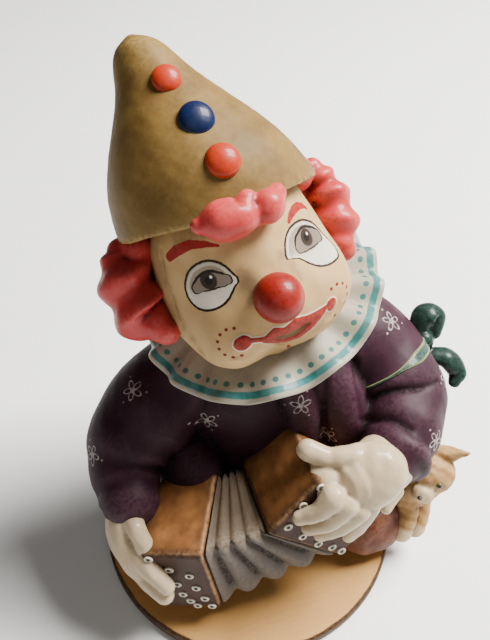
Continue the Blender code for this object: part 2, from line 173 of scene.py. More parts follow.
def smooth_row(rows: Sequence[Row], count: int) -> Array:
    """A Catmull-Rom curve through rows of numbers.

    Args:
        rows: The rows that the curve runs through.
        count: How many samples to take.

    Returns:
        The samples, one row each.
    """
    knots = vec(rows)
    padded = np.vstack([2 * knots[0] - knots[1], knots, 2 * knots[-1] - knots[-2]])
    result = []
    for place in np.linspace(0.0, len(knots) - 1.0, count):
        start = min(int(place), len(knots) - 2)
        t = place - start
        a, b, c, d = padded[start:start + 4]
        result.append(0.5 * (2 * b + (c - a) * t + (2 * a - 5 * b + 4 * c - d) * t ** 2
            + (3 * b - 3 * c + d - a) * t ** 3))
    return np.array(result)


def skin(rings: Sequence[Sequence[Array]], start: Array, end: Array) -> Form:
    """A closed shape over a stack of rings.

    Args:
        rings: Rings with the same number of points.
        start: The pole under the first ring.
        end: The pole over the last ring.

    Returns:
        The shape.
    """
    sides = len(rings[0])
    points = [vec(start)]
    for ring in rings:
        points.extend(ring)
    points.append(vec(end))
    faces: list[tuple[int, ...]] = [(0, 1 + (side + 1) % sides, 1 + side) for side in range(sides)]
    for row in range(len(rings) - 1):
        low = 1 + row * sides
        high = low + sides
        for side in range(sides):
            after = (side + 1) % sides
            faces.append((low + side, low + after, high + after, high + side))
    last = 1 + (len(rings) - 1) * sides
    tip = len(points) - 1
    faces.extend((last + side, last + (side + 1) % sides, tip) for side in range(sides))
    return Form(np.array(points), faces)


def ball(centre: Row, radii: Point, right: Row = (1, 0, 0), up: Row = (0, 0, 1), sides: int = 40) -> Form:
    """An ellipsoid.

    Args:
        centre: Its middle.
        radii: Half its size to the right, to the front and upwards.
        right: Its right direction.
        up: Its up direction.
        sides: How many sides it has round its up axis.

    Returns:
        The shape.
    """
    side, front, rise = axes_of(right, up)
    middle = vec(centre)
    turns = full_turn(sides)
    rings = []
    for row in range(1, sides // 2):
        height = math.pi * row / (sides // 2)
        ring = (middle - rise * radii[2] * math.cos(height) + np.outer(np.cos(turns),
            side * radii[0] * math.sin(height)) + np.outer(np.sin(turns),
                front * radii[1] * math.sin(height)))
        rings.append(list(ring))
    return skin(rings, middle - rise * radii[2], middle + rise * radii[2])


@dataclass(frozen=True)
class Folds:
    """Shallow rings of cloth round a limb."""

    count: float
    depth: float
    slant: float = 0.2
    phase: float = 0.8
    twist: float = 0.0


def limb(route: Sequence[Row], sides: int = 36, steps: int = 44, flat: float = 1.0,
        flat_way: Row = (0, 0, 1), folds: Optional[Folds] = None) -> Form:
    """A round-ended limb.

    Args:
        route: Rows of x, y, z and radius that it runs through.
        sides: How many sides it has.
        steps: How many rings it has along its route.
        flat: Its thickness along flat_way, as a share of its width.
        flat_way: The direction in which it is flattened.
        folds: Rings of cloth round it.

    Returns:
        The shape.
    """
    rows = smooth_row(route, steps)
    centres = rows[:, :3]
    radii = np.maximum(rows[:, 3], 0.3)
    ahead = np.gradient(centres, axis=0)
    ahead /= lengths(ahead)[:, None]
    stations = [(0, math.sin(a), math.cos(a)) for a in (-1.25, -0.8, -0.4)]
    stations += [(index, 0.0, 1.0) for index in range(steps)]
    stations += [(steps - 1, math.sin(a), math.cos(a)) for a in (0.4, 0.8, 1.25)]
    turns = full_turn(sides)
    rings = []
    for index, along, across in stations:
        thin = unit(vec(flat_way) - ahead[index] * np.dot(flat_way, ahead[index]))
        wide = np.cross(ahead[index], thin)
        size = np.full(sides, radii[index] * across)
        if folds:
            wave = folds.count * index / (steps - 1) + folds.slant * np.sin(turns + folds.phase)
            wave += folds.twist * turns / (2 * math.pi)
            size *= 1 + folds.depth * np.sin(2 * math.pi * wave)
        middle = centres[index] + ahead[index] * radii[index] * along
        rings.append(list(middle + np.outer(size * np.cos(turns), wide)
            + np.outer(size * np.sin(turns) * flat, thin)))
    return skin(rings, centres[0] - ahead[0] * radii[0], centres[-1] + ahead[-1] * radii[-1])


def loft(centre: Row, right: Row, up: Row, stations: Sequence[Row], sides: int = 72, steps: int = 52,
        lean: Pair = (0.0, 0.0)) -> Form:
    """A body from stations along its up axis.

    Args:
        centre: Where the heights start.
        right: Its right direction.
        up: Its up direction.
        stations: Rows of height, half width, depth to the front and depth to the back.
        sides: How many sides it has.
        steps: How many rings it has.
        lean: How far its top lies to the right and to the front of its foot.

    Returns:
        The shape.
    """
    side, front, rise = axes_of(right, up)
    rows = smooth_row(stations, steps)
    turns = full_turn(sides)
    rings = []
    for height, width, fore, aft in rows[1:-1]:
        share = (height - rows[0][0]) / (rows[-1][0] - rows[0][0])
        middle = vec(centre) + rise * height + side * lean[0] * share + front * lean[1] * share
        depth = np.where(np.sin(turns) > 0, max(fore, 0.4), max(aft, 0.4))
        rings.append(list(middle + np.outer(np.cos(turns) * max(width, 0.4), side)
            + np.outer(np.sin(turns) * depth, front)))
    low = vec(centre) + rise * rows[0][0]
    high = vec(centre) + rise * rows[-1][0] + side * lean[0] + front * lean[1]
    return skin(rings, low, high)


def swollen(form: Form, centre: Array, lumps: Iterable[tuple[Array, float, float]]) -> Form:
    """A shape pushed out from a centre by soft lumps.

    Args:
        form: The shape.
        centre: What it is pushed away from.
        lumps: Each lump's place, radius and height.

    Returns:
        The swollen shape.
    """
    away = form.points - vec(centre)
    away /= np.maximum(lengths(away), 1e-6)[:, None]
    moved = form.points.copy()
    for place, radius, height in lumps:
        near = np.exp(-np.sum((form.points - vec(place)) ** 2, axis=1) / (radius * radius))
        moved += away * (near * height)[:, None]
    return Form(moved, form.faces)


def soft_step(value: Array, low: float, high: float) -> Array:
    """A smooth rise from 0 at low to 1 at high."""
    share = np.clip((value - low) / (high - low), 0.0, 1.0)
    return share * share * (3 - 2 * share)


class BodyFrame:
    """A place on the body with its own right, front and up axes."""

    def __init__(self, centre: Row, right: Row, up: Row) -> None:
        """Sets the place and squares the axes."""
        self.centre = vec(centre)
        self.right, self.front, self.up = axes_of(right, up)

    def at(self, right: float, front: float, up: float) -> Array:
        """A place in millimetres from lengths along the frame's axes."""
        return self.centre + self.right * right + self.front * front + self.up * up

    def tilted(self, lift: float, angle: float) -> "BodyFrame":
        """A frame at a height above this one, with its left side turned down by an angle in degrees.

        Args:
            lift: The height.
            angle: The angle.

        Returns:
            The frame.
        """
        turn = math.radians(angle)
        up = self.up * math.cos(turn) + self.right * math.sin(turn)
        right = self.right * math.cos(turn) - self.up * math.sin(turn)
        return BodyFrame(self.at(0, 0, lift), right, up)

    def unrolled(self, points: Array) -> Array:
        """Rows of arc length round the head and height, one for each point."""
        away = points - self.centre
        return np.stack([np.arctan2(away @ self.right, away @ self.front) * FACE_ROUND, away @ self.up],
            axis=1)


FACE_ROUND = 27.0
HEAD = BodyFrame((5.3, 8.9, 118.0), (0.974, 0.118, 0.194), (-0.226, 0.543, 0.809))
BRIM = HEAD.tilted(30.4, 5.0)


# Meshes


def metres(places: Array) -> Array:
    """Places in metres of the row's frame, from millimetres above the plinth."""
    return (places + (0.0, 0.0, PLINTH_TOP)) * MM


def millimetres(places: Array) -> Array:
    """Places in millimetres above the plinth, from metres of the row's frame."""
    return places / MM - (0.0, 0.0, PLINTH_TOP)


def in_scene(name: str, data: bpy.types.ID) -> Thing:
    """A new object in the scene.

    Args:
        name: The object's name.
        data: What it holds.

    Returns:
        The object.
    """
    thing = bpy.data.objects.new(name, data)
    bpy.context.scene.collection.objects.link(thing)
    return thing


def mend(mesh: bpy.types.Mesh) -> None:
    """Closes a mesh's open ends, turns its faces outwards and shades it smooth.

    Args:
        mesh: The mesh.
    """
    work = bmesh.new()
    work.from_mesh(mesh)
    bmesh.ops.holes_fill(work, edges=[edge for edge in work.edges if edge.is_boundary], sides=0)
    bmesh.ops.recalc_face_normals(work, faces=work.faces)
    work.to_mesh(mesh)
    work.free()
    mesh.shade_smooth()


def mesh_object(name: str, forms: Sequence[Form]) -> Thing:
    """An object that holds closed shapes.

    Args:
        name: The object's name.
        forms: The shapes, in millimetres above the plinth.

    Returns:
        The object, in metres in the row's frame, at the origin.
    """
    points: list[Array] = []
    faces: list[tuple[int, ...]] = []
    start = 0
    for form in forms:
        points.append(metres(form.points))
        faces.extend(tuple(start + corner for corner in face) for face in form.faces)
        start += len(form.points)
    mesh = bpy.data.meshes.new(name)
    mesh.from_pydata(np.vstack(points).tolist(), [], faces)
    mend(mesh)
    return in_scene(name, mesh)


def settled(thing: Thing) -> Thing:
    """The object with its modifiers worked into its mesh.

    Args:
        thing: The object.

    Returns:
        The same object.
    """
    graph = bpy.context.evaluated_depsgraph_get()
    mesh = bpy.data.meshes.new_from_object(thing.evaluated_get(graph))
    thing.modifiers.clear()
    thing.data = mesh
    mesh.shade_smooth()
    return thing


def cast(name: str, forms: Sequence[Form], voxel: float = 0.7, smooth: int = 4) -> Thing:
    """Overlapping shapes as one cast skin.

    Args:
        name: The object's name.
        forms: The shapes.
        voxel: The fineness of the skin in millimetres.
        smooth: How many times the skin is smoothed.

    Returns:
        The object.
    """
    thing = mesh_object(name, forms)
    remesh = thing.modifiers.new("one_skin", "REMESH")
    remesh.mode = "VOXEL"
    remesh.voxel_size = voxel * MM
    soften = thing.modifiers.new("soften", "SMOOTH")
    soften.iterations = smooth
    return settled(thing)


class Surface:
    """A mesh's points in millimetres, for small changes of shape and for masks on it."""

    def __init__(self, thing: Thing) -> None:
        """Reads the points and the edges.

        Args:
            thing: The object that has the mesh.
        """
        self.mesh = thing.data
        count = len(self.mesh.vertices)
        flat = np.zeros(count * 3)
        self.mesh.vertices.foreach_get("co", flat)
        self.points = millimetres(flat.reshape(-1, 3))
        ends = np.zeros(len(self.mesh.edges) * 2, dtype=np.int64)
        self.mesh.edges.foreach_get("vertices", ends)
        self.edges = ends.reshape(-1, 2)
        self.degree = np.maximum(np.bincount(ends, minlength=count), 1)

    def normals(self) -> Array:
        """The direction outwards at each point.

        Returns:
            A row for each point.
        """
        flat = np.zeros(len(self.mesh.vertices) * 3)
        self.mesh.vertices.foreach_get("normal", flat)
        return flat.reshape(-1, 3)

    def averaged(self, values: Array, rounds: int) -> Array:
        """Values smoothed along the edges.

        Args:
            values: A row for each point.
            rounds: How many times.

        Returns:
            The smoothed rows.
        """
        count = len(self.mesh.vertices)
        first, second = self.edges[:, 0], self.edges[:, 1]
        for _ in range(rounds):
            total = np.stack([np.bincount(first, column[second], count) + np.bincount(second, column[first],
                count) for column in values.T], axis=1)
            values = total / self.degree[:, None]
        return values

    def pushed(self, heights: Array) -> None:
        """Moves each point outwards by its height in millimetres."""
        self.points = self.points + self.normals() * heights[:, None]
        self.write()

    def write(self) -> None:
        """Puts the points back into the mesh."""
        self.mesh.vertices.foreach_set("co", metres(self.points).ravel())
        self.mesh.update()

    def store(self, name: str, values: Array) -> None:
        """Keeps a number or a vector for each point as an attribute.

        Args:
            name: The attribute's name.
            values: A number or a row for each point.
        """
        kind = "FLOAT" if values.ndim == 1 else "FLOAT_VECTOR"
        attribute = self.mesh.attributes.new(name, kind, "POINT")
        attribute.data.foreach_set("value" if values.ndim == 1 else "vector",
            values.astype(np.float32).ravel())

    def mark_relief(self, rounds: int = 10, depth: float = 0.35) -> None:
        """Stores how hollow and how proud each point lies.

        Args:
            rounds: How far round a point its neighbours count.
            depth: The depth in millimetres that counts as fully hollow.
        """
        lift = np.sum((self.averaged(self.points, rounds) - self.points) * self.normals(), axis=1)
        lift = self.averaged(lift[:, None], 2)[:, 0]
        self.store("hollow", np.clip(lift / depth, 0.0, 1.0))
        self.store("proud", np.clip(-lift / depth, 0.0, 1.0))


def ripple(points: Array, size: float, seed: int, waves: int = 9) -> Array:
    """A smooth uneven field of about -1 to 1, from waves in fixed random directions.

    Args:
        points: Places in millimetres.
        size: The length of a wave.
        seed: The seed of the directions.
        waves: How many waves are added up.

    Returns:
        A number for each place.
    """
    chance = np.random.default_rng(seed)
    ways = chance.normal(size=(waves, 3))
    ways /= lengths(ways)[:, None]
    scale = 2 * math.pi / (size * chance.uniform(0.7, 1.5, waves))
    return np.sin(points @ (ways * scale[:, None]).T + chance.uniform(0, 6.28, waves)).sum(axis=1) / 3.0


# Shader graphs


class Graph:
    """A short way to write nodes: every argument is a plain value or another node's socket."""

    def __init__(self, tree: Tree, effects: Optional["SharedEffects"] = None) -> None:
        """Keeps the tree, and the shared node groups that it may use."""
        self.tree = tree
        self.effects = effects

    def put(self, socket: Socket, value: Value) -> None:
        """Links a socket to another, or sets its value.

        Args:
            socket: The input.
            value: The value or the other socket.
        """
        if isinstance(value, bpy.types.NodeSocket):
            self.tree.links.new(value, socket)
        elif isinstance(value, (tuple, list)) and socket.type == "RGBA":
            socket.default_value = (*value[:3], 1.0)
        else:
            socket.default_value = value

    def node(self, kind: str, values: Optional[Inputs] = None,
            **settings: Union[str, bool, int, float]) -> Node:
        """Adds a node.

        Args:
            kind: The node's type.
            values: Its inputs by name or index.
            **settings: Its properties.

        Returns:
            The node.
        """
        made = self.tree.nodes.new(kind)
        for key, setting in settings.items():
            setattr(made, key, setting)
        for key, value in (values or {}).items():
            self.put(made.inputs[key], value)
        return made

    def math(self, operation: str, *values: Value, clamp: bool = False) -> Socket:
        """A number worked out from numbers."""
        return self.node("ShaderNodeMath", dict(enumerate(values)), operation=operation,
            use_clamp=clamp).outputs[0]

    def plus(self, first: Value, second: Value, clamp: bool = False) -> Socket:
        """The sum of two numbers."""
        return self.math("ADD", first, second, clamp=clamp)

    def minus(self, first: Value, second: Value) -> Socket:
        """The difference of two numbers."""
        return self.math("SUBTRACT", first, second)

    def times(self, first: Value, second: Value, clamp: bool = False) -> Socket:
        """The product of two numbers."""
        return self.math("MULTIPLY", first, second, clamp=clamp)

    def reach(self, x: Value, y: Value) -> Socket:
        """The length of a flat vector."""
        return self.math("SQRT", self.plus(self.times(x, x), self.times(y, y)))

    def vector(self, operation: str, *values: Value) -> Socket:
        """A vector worked out from vectors."""
        return self.node("ShaderNodeVectorMath", dict(enumerate(values)), operation=operation).outputs[0]

    def measure(self, operation: str, *values: Value) -> Socket:
        """A number worked out from vectors, such as a length or a dot product."""
        made = self.node("ShaderNodeVectorMath", dict(enumerate(values)), operation=operation)
        return made.outputs["Value"]

    def scaled(self, vector: Value, scale: Value) -> Socket:
        """A vector times a number."""
        return self.node("ShaderNodeVectorMath", {0: vector, "Scale": scale}, operation="SCALE").outputs[0]

    def fade(self, value: Value, low: Value, high: Value) -> Socket:
        """A smooth rise from 0 at low to 1 at high, or a fall where low is the larger."""
        return self.node("ShaderNodeMapRange", {"Value": value, "From Min": low, "From Max": high},
            interpolation_type="SMOOTHSTEP").outputs[0]

    def blend(self, share: Value, first: Value, second: Value) -> Socket:
        """A colour between two colours."""
        return self.node("ShaderNodeMix", {0: share, 6: first, 7: second}, data_type="RGBA").outputs[2]

    def noise(self, place: Value, size: Value, detail: float = 3.0) -> Socket:
        """An uneven field with blots of a size in millimetres."""
        return self.node("ShaderNodeTexNoise", {"Vector": place, "Scale": self.math("DIVIDE", 1.0, size),
            "Detail": detail}).outputs[0]

    def shaken(self, place: Value, size: Value, strength: float, detail: float = 3.0) -> Socket:
        """An uneven field round 0, for edges drawn by hand."""
        return self.times(self.minus(self.noise(place, size, detail), 0.5), strength)

    def attribute(self, name: str) -> Socket:
        """A number stored on the mesh."""
        return self.node("ShaderNodeAttribute", attribute_name=name).outputs["Fac"]

    def attribute_vector(self, name: str) -> Socket:
        """A vector stored on the mesh."""
        return self.node("ShaderNodeAttribute", attribute_name=name).outputs["Vector"]

    def place(self) -> Socket:
        """The place on the piece in millimetres of the row's frame."""
        here = self.node("ShaderNodeTexCoord").outputs["Object"]
        return self.scaled(here, 1.0 / MM)

    def parts(self, vector: Value) -> tuple[Socket, Socket, Socket]:
        """The three numbers of a vector."""
        split = self.node("ShaderNodeSeparateXYZ", {0: vector})
        return split.outputs[0], split.outputs[1], split.outputs[2]

    def joined(self, x: Value, y: Value, z: Value = 0.0) -> Socket:
        """A vector from three numbers."""
        return self.node("ShaderNodeCombineXYZ", {0: x, 1: y, 2: z}).outputs[0]

    def use(self, tree: Tree, values: dict[str, Value]) -> Node:
        """Places a shared node group with its own values."""
        return self.node("ShaderNodeGroup", values, node_tree=tree)


class SharedEffects:
    """Node groups that several materials use, each built once."""

    fine_blot: float = 1.3
    grain_blot: float = 0.32

    def __init__(self) -> None:
        """Builds the groups."""
        self.aged_paint = self.build_aged_paint()
        self.brush_stroke = self.build_brush_stroke()
        self.dot_arc = self.build_dot_arc()

    @staticmethod
    def begin(name: str, inputs: dict[str, str],
            outputs: dict[str, str]) -> tuple[Graph, dict[str, Socket], Node]:
        """Starts a group.

        Args:
            name: The group's name.
            inputs: Its input names and socket kinds.
            outputs: Its output names and socket kinds.

        Returns:
            The group's graph, its input sockets by name, and its output node.
        """
        tree = bpy.data.node_groups.new(name, "ShaderNodeTree")
        for way, sockets in (("INPUT", inputs), ("OUTPUT", outputs)):
            for label, kind in sockets.items():
                tree.interface.new_socket(label, in_out=way, socket_type="NodeSocket" + kind)
        entry = tree.nodes.new("NodeGroupInput")
        leave = tree.nodes.new("NodeGroupOutput")
        return Graph(tree), {label: entry.outputs[label] for label in inputs}, leave

    def build_aged_paint(self) -> Tree:
        """Paint laid on unevenly by hand, with dirt in its hollows and specks of age.

        Returns:
            The node group.
        """
        graph, given, leave = self.begin("aged_paint", {"Paint": "Color", "Tint": "Vector", "Dirt": "Color",
            "Light": "Color", "Place": "Vector", "Hollow": "Float", "Proud": "Float", "Mottle": "Float",
            "Mottle Size": "Float", "Dirt Amount": "Float", "Speckle": "Float", "Wear": "Float"},
            {"Colour": "Color", "Roughening": "Float", "Height": "Float"})
        broad = graph.noise(given["Place"], given["Mottle Size"], 4.0)
        fine = graph.noise(given["Place"], self.fine_blot)
        grains = graph.noise(given["Place"], self.grain_blot, 2.0)
        mottle = graph.times(graph.fade(broad, 0.36, 0.66), given["Mottle"])
        colour = graph.blend(mottle, given["Paint"], graph.vector("MULTIPLY", given["Paint"], given["Tint"]))
        wear = graph.times(graph.times(given["Proud"], given["Wear"]), graph.fade(fine, 0.3, 0.62),
            clamp=True)
        colour = graph.blend(wear, colour, given["Light"])
        specks = graph.times(graph.fade(grains, 0.6, 0.72), given["Speckle"])
        colour = graph.blend(specks, colour, given["Dirt"])
        grime = graph.times(graph.fade(given["Hollow"], 0.08, 0.95),
            graph.plus(0.45, graph.fade(fine, 0.3, 0.7)))
        grime = graph.times(grime, given["Dirt Amount"], clamp=True)
        colour = graph.blend(grime, colour, given["Dirt"])
        rough = graph.plus(graph.times(grime, 0.3), graph.times(graph.minus(fine, 0.5), 0.18))
        height = graph.plus(graph.times(broad, 0.6), graph.times(fine, 0.4))
        for label, value in (("Colour", colour), ("Roughening", rough), ("Height", height)):
            graph.put(leave.inputs[label], value)
        return graph.tree

    def build_brush_stroke(self) -> Tree:
        """The distance from the edge of a tapered brush stroke, less than 0 inside it.

        Returns:
            The node group.
        """
        graph, given, leave = self.begin("brush_stroke", {"Place": "Vector", "Start": "Vector",
            "End": "Vector", "Start Radius": "Float", "End Radius": "Float", "Others": "Float"},
            {"Distance": "Float"})
        along = graph.vector("SUBTRACT", given["End"], given["Start"])
        away = graph.vector("SUBTRACT", given["Place"], given["Start"])
        share = graph.math("DIVIDE", graph.measure("DOT_PRODUCT", away, along),
            graph.measure("DOT_PRODUCT", along, along), clamp=True)
        gap = graph.measure("LENGTH", graph.vector("SUBTRACT", away, graph.scaled(along, share)))
        widening = graph.minus(given["End Radius"], given["Start Radius"])
        radius = graph.math("MULTIPLY_ADD", widening, share, given["Start Radius"])
        own = graph.minus(gap, radius)
        graph.put(leave.inputs["Distance"], graph.math("MINIMUM", own, given["Others"]))
        return graph.tree

    def build_dot_arc(self) -> Tree:
        """A mask of round dots along part of a circle.

        Returns:
            The node group.
        """
        graph, given, leave = self.begin("dot_arc", {"Place": "Vector", "Centre": "Vector",
            "Arc Radius": "Float", "Spacing": "Float", "Start": "Float", "End": "Float",
            "Dot Radius": "Float"}, {"Mask": "Float"})
        x, y, _ = graph.parts(graph.vector("SUBTRACT", given["Place"], given["Centre"]))
        reach = graph.reach(x, y)
        turn = graph.math("ARCTAN2", y, x)
        turn = graph.math("WRAP", turn, graph.plus(given["Start"], 2 * math.pi), given["Start"])
        step = graph.math("PINGPONG", graph.minus(turn, given["Start"]), graph.times(given["Spacing"], 0.5))
        step = graph.minus(graph.times(given["Spacing"], 0.5), step)
        across = graph.times(step, given["Arc Radius"])
        along = graph.minus(reach, given["Arc Radius"])
        gap = graph.reach(across, along)
        mask = graph.fade(gap, given["Dot Radius"], graph.times(given["Dot Radius"], 0.7))
        mask = graph.times(mask, graph.math("LESS_THAN", turn, given["End"]))
        graph.put(leave.inputs["Mask"], mask)
        return graph.tree


# Finishes


@dataclass(frozen=True)
class Paint:
    """Hand-laid paint under a glaze or varnish.

    Colours are linear. A lighter colour shows where the surface stands proud and is worn.
    """

    name: str
    colour: Colour
    shade: Colour
    dirt: Colour = (0.05, 0.03, 0.017)
    light: Colour = (0.8, 0.7, 0.55)
    gloss: Gloss = Gloss.SATIN
    mottle: float = 0.6
    mottle_size: float = 9.0
    dirt_amount: float = 0.7
    speckle: float = 0.12
    wear: float = 0.15
    bump: float = 0.12

    def pigment(self, graph: Graph) -> Value:
        """The colour before age; plain paint has one."""
        return self.colour

    def build(self, effects: SharedEffects) -> Material:
        """The material.

        Args:
            effects: The shared node groups.

        Returns:
            The material, ready to put on a mesh.
        """
        material = bpy.data.materials.new(self.name)
        material.use_nodes = True
        graph = Graph(material.node_tree, effects)
        tint = tuple(shade / max(plain, 0.001) for shade, plain in zip(self.shade, self.colour))
        aged = graph.use(effects.aged_paint, {"Paint": self.pigment(graph), "Tint": tint, "Dirt": self.dirt,
            "Light": self.light, "Place": graph.place(), "Hollow": graph.attribute("hollow"),
            "Proud": graph.attribute("proud"), "Mottle": self.mottle, "Mottle Size": self.mottle_size,
            "Dirt Amount": self.dirt_amount, "Speckle": self.speckle, "Wear": self.wear})
        shader = material.node_tree.nodes["Principled BSDF"]
        rough, coat = self.gloss.value
        bump = graph.node("ShaderNodeBump", {"Height": aged.outputs["Height"], "Strength": self.bump,
            "Distance": PAINT_THICKNESS})
        roughness = graph.plus(aged.outputs["Roughening"], rough, clamp=True)
        for label, value in {"Base Color": aged.outputs["Colour"], "Roughness": roughness,
                "Coat Weight": coat, "Coat Roughness": COAT_ROUGHNESS, "Specular IOR Level": PAINT_SPECULAR,
                "Normal": bump.outputs[0]}.items():
            graph.put(shader.inputs[label], value)
        return material


@dataclass(frozen=True)
class Stroke:
    """A tapered brush stroke on an unrolled surface, in millimetres."""

    start: Pair
    end: Pair
    start_radius: float
    end_radius: float

    def distance(self, places: Array) -> Array:
        """How far places lie outside the stroke.

        Args:
            places: A row of arc and height for each.

        Returns:
            A distance for each.
        """
        first, along = vec(self.start), vec(self.end) - vec(self.start)
        away = places - first
        share = np.clip(away @ along / max(float(along @ along), 1e-9), 0.0, 1.0)
        radius = self.start_radius + (self.end_radius - self.start_radius) * share
        return lengths(away - share[:, None] * along) - radius


def chain(*stops: Point) -> tuple[Stroke, ...]:
    """Strokes through stops of arc, height and radius."""
    return tuple(Stroke(a[:2], b[:2], a[2], b[2]) for a, b in zip(stops, stops[1:]))


@dataclass(frozen=True)
class Outline:
    """A closed painted shape round a centre, from its points on the unrolled face."""

    centre: Pair
    points: tuple[Pair, ...]

    def distance(self, graph: Graph, place: Value) -> Socket:
        """The distance outside the shape, as a shader value.

        Args:
            graph: The material's graph.
            place: The place on the unrolled face.

        Returns:
            The distance.
        """
        away = vec(self.points) - vec(self.centre)
        turns = np.arctan2(away[:, 1], away[:, 0]) / (2 * math.pi) + 0.5
        order = np.argsort(turns)
        turns, reaches = turns[order], lengths(away)[order]
        limit = float(reaches.max()) * 1.1
        seam = float(np.interp(0.0, [turns[-1] - 1.0, turns[0]], [reaches[-1], reaches[0]]))
        x, y, _ = graph.parts(graph.vector("SUBTRACT", place, (*self.centre, 0.0)))
        turn = graph.plus(graph.math("DIVIDE", graph.math("ARCTAN2", y, x), 2 * math.pi), 0.5)
        curve = graph.node("ShaderNodeFloatCurve", {"Value": turn})
        line = curve.mapping.curves[0]
        line.points[0].location = (0.0, seam / limit)
        line.points[1].location = (1.0, seam / limit)
        for at, reach in zip(turns, reaches):
            line.points.new(float(at), float(reach) / limit)
        curve.mapping.update()
        reach = graph.reach(x, y)
        return graph.minus(reach, graph.times(curve.outputs[0], limit))


@dataclass(frozen=True)
class Eye:
    """One painted eye: the teardrop round it, the half-closed eyeball and the pupil."""

    rim: Outline
    ball: Outline
    pupil: Pair
    glint: Pair


MOUTH = (
    chain((-15.5, -6.5, 2.3), (-14.6, -6.2, 2.2))
    + chain((-13.5, -6.3, 0.9), (-10.6, -7.6, 0.8), (-8.6, -8.4, 1.0), (-5.0, -7.6, 1.5), (-1.8, -8.5, 0.9),
        (2.4, -7.8, 1.4), (6.5, -8.5, 1.05), (10.5, -8.5, 0.7), (14.2, -8.4, 0.7))
    + chain((15.8, -8.6, 1.9), (15.9, -8.6, 1.9))
    + chain((-9.4, -8.8, 0.8), (-6.0, -11.3, 1.2), (-1.5, -13.3, 1.3), (4.0, -13.6, 1.3), (9.0, -11.8, 1.0),
        (13.0, -9.2, 0.7))
    + chain((-6.5, -9.6, 0.9), (-3.0, -10.3, 1.3), (5.0, -10.2, 1.3), (12.0, -9.2, 0.8))
    + chain((-3.0, -11.6, 0.9), (6.0, -11.5, 0.9), (12.0, -9.6, 0.9)))
LIP_GAP = chain((-5.8, -9.9, 0.35), (-2.2, -11.1, 1.1), (2.4, -11.4, 1.25), (7.0, -10.3, 0.4))
BROWS = (
    chain((-28.2, 24.1, 1.4), (-24.6, 25.2, 1.7), (-19.0, 25.7, 1.4), (-14.0, 24.3, 1.0), (-10.3, 22.5, 0.4))
    + chain((14.6, 19.4, 0.6), (16.6, 20.7, 1.1), (19.4, 21.5, 1.35), (22.6, 21.7, 1.3), (25.4, 20.9, 1.0),
        (27.4, 19.4, 0.5)))
CAP_LINE = chain((-31.5, 27.0, 0.2), (-33.2, 20.0, 0.3), (-33.3, 8.0, 0.2))
# Painted shade, partly dirt: smears beside the nose, along the hair, under the hat's brim and under the
# lower lip.
SHADE_AND_DIRT_SMEARS = (
    chain((-7.0, 12.5, 1.2), (-8.5, 5.0, 1.0)) + chain((6.5, 12.0, 0.7), (8.5, 4.5, 0.6))
    + chain((-33.0, 26.0, 0.8), (-33.5, 6.0, 1.0), (-30.0, -6.0, 0.5))
    + chain((-24.0, 27.5, 0.4), (-8.0, 26.5, 0.6), (14.0, 26.0, 0.6))
    + chain((-5.0, -14.2, 0.7), (4.0, -14.0, 0.7)))
CHIN_SPOT = chain((0.6, -18.2, 0.85), (1.6, -18.4, 0.8))
RIGHT_EYE = Eye(
    Outline((-18.0, 12.6), ((-8.9, 11.3), (-9.7, 13.8), (-10.9, 16.5), (-12.9, 18.5), (-15.9, 19.8),
        (-19.1, 19.8), (-22.3, 18.8), (-24.5, 16.9), (-26.2, 14.1), (-26.5, 11.1), (-25.3, 8.3),
        (-22.7, 6.4), (-19.9, 5.8), (-16.8, 6.0), (-14.2, 7.0), (-11.9, 8.8), (-10.1, 10.3))),
    Outline((-17.2, 13.6), ((-24.0, 13.6), (-21.1, 15.9), (-18.1, 16.8), (-15.1, 16.3), (-12.5, 14.6),
        (-10.6, 12.0), (-12.7, 11.1), (-17.0, 11.2), (-20.6, 11.6), (-23.8, 12.0))),
    (-17.8, 14.1), (-16.6, 14.9))
LEFT_EYE = Eye(
    Outline((19.5, 10.2), ((7.6, 10.3), (8.4, 13.0), (10.1, 15.5), (12.8, 17.3), (16.3, 18.1), (20.1, 17.8),
        (23.3, 16.6), (25.9, 14.5), (27.4, 11.4), (28.1, 8.4), (28.1, 5.3), (26.8, 3.0), (23.2, 2.1),
        (19.6, 2.5), (16.8, 3.8), (14.5, 5.9), (12.6, 8.0), (10.2, 9.4))),
    Outline((19.6, 11.9), ((12.5, 11.2), (14.2, 14.0), (17.8, 15.6), (21.8, 15.2), (25.0, 13.3),
        (26.2, 10.2), (22.7, 9.1), (19.4, 8.9), (15.4, 9.3))),
    (19.5, 12.5), (20.5, 13.3))


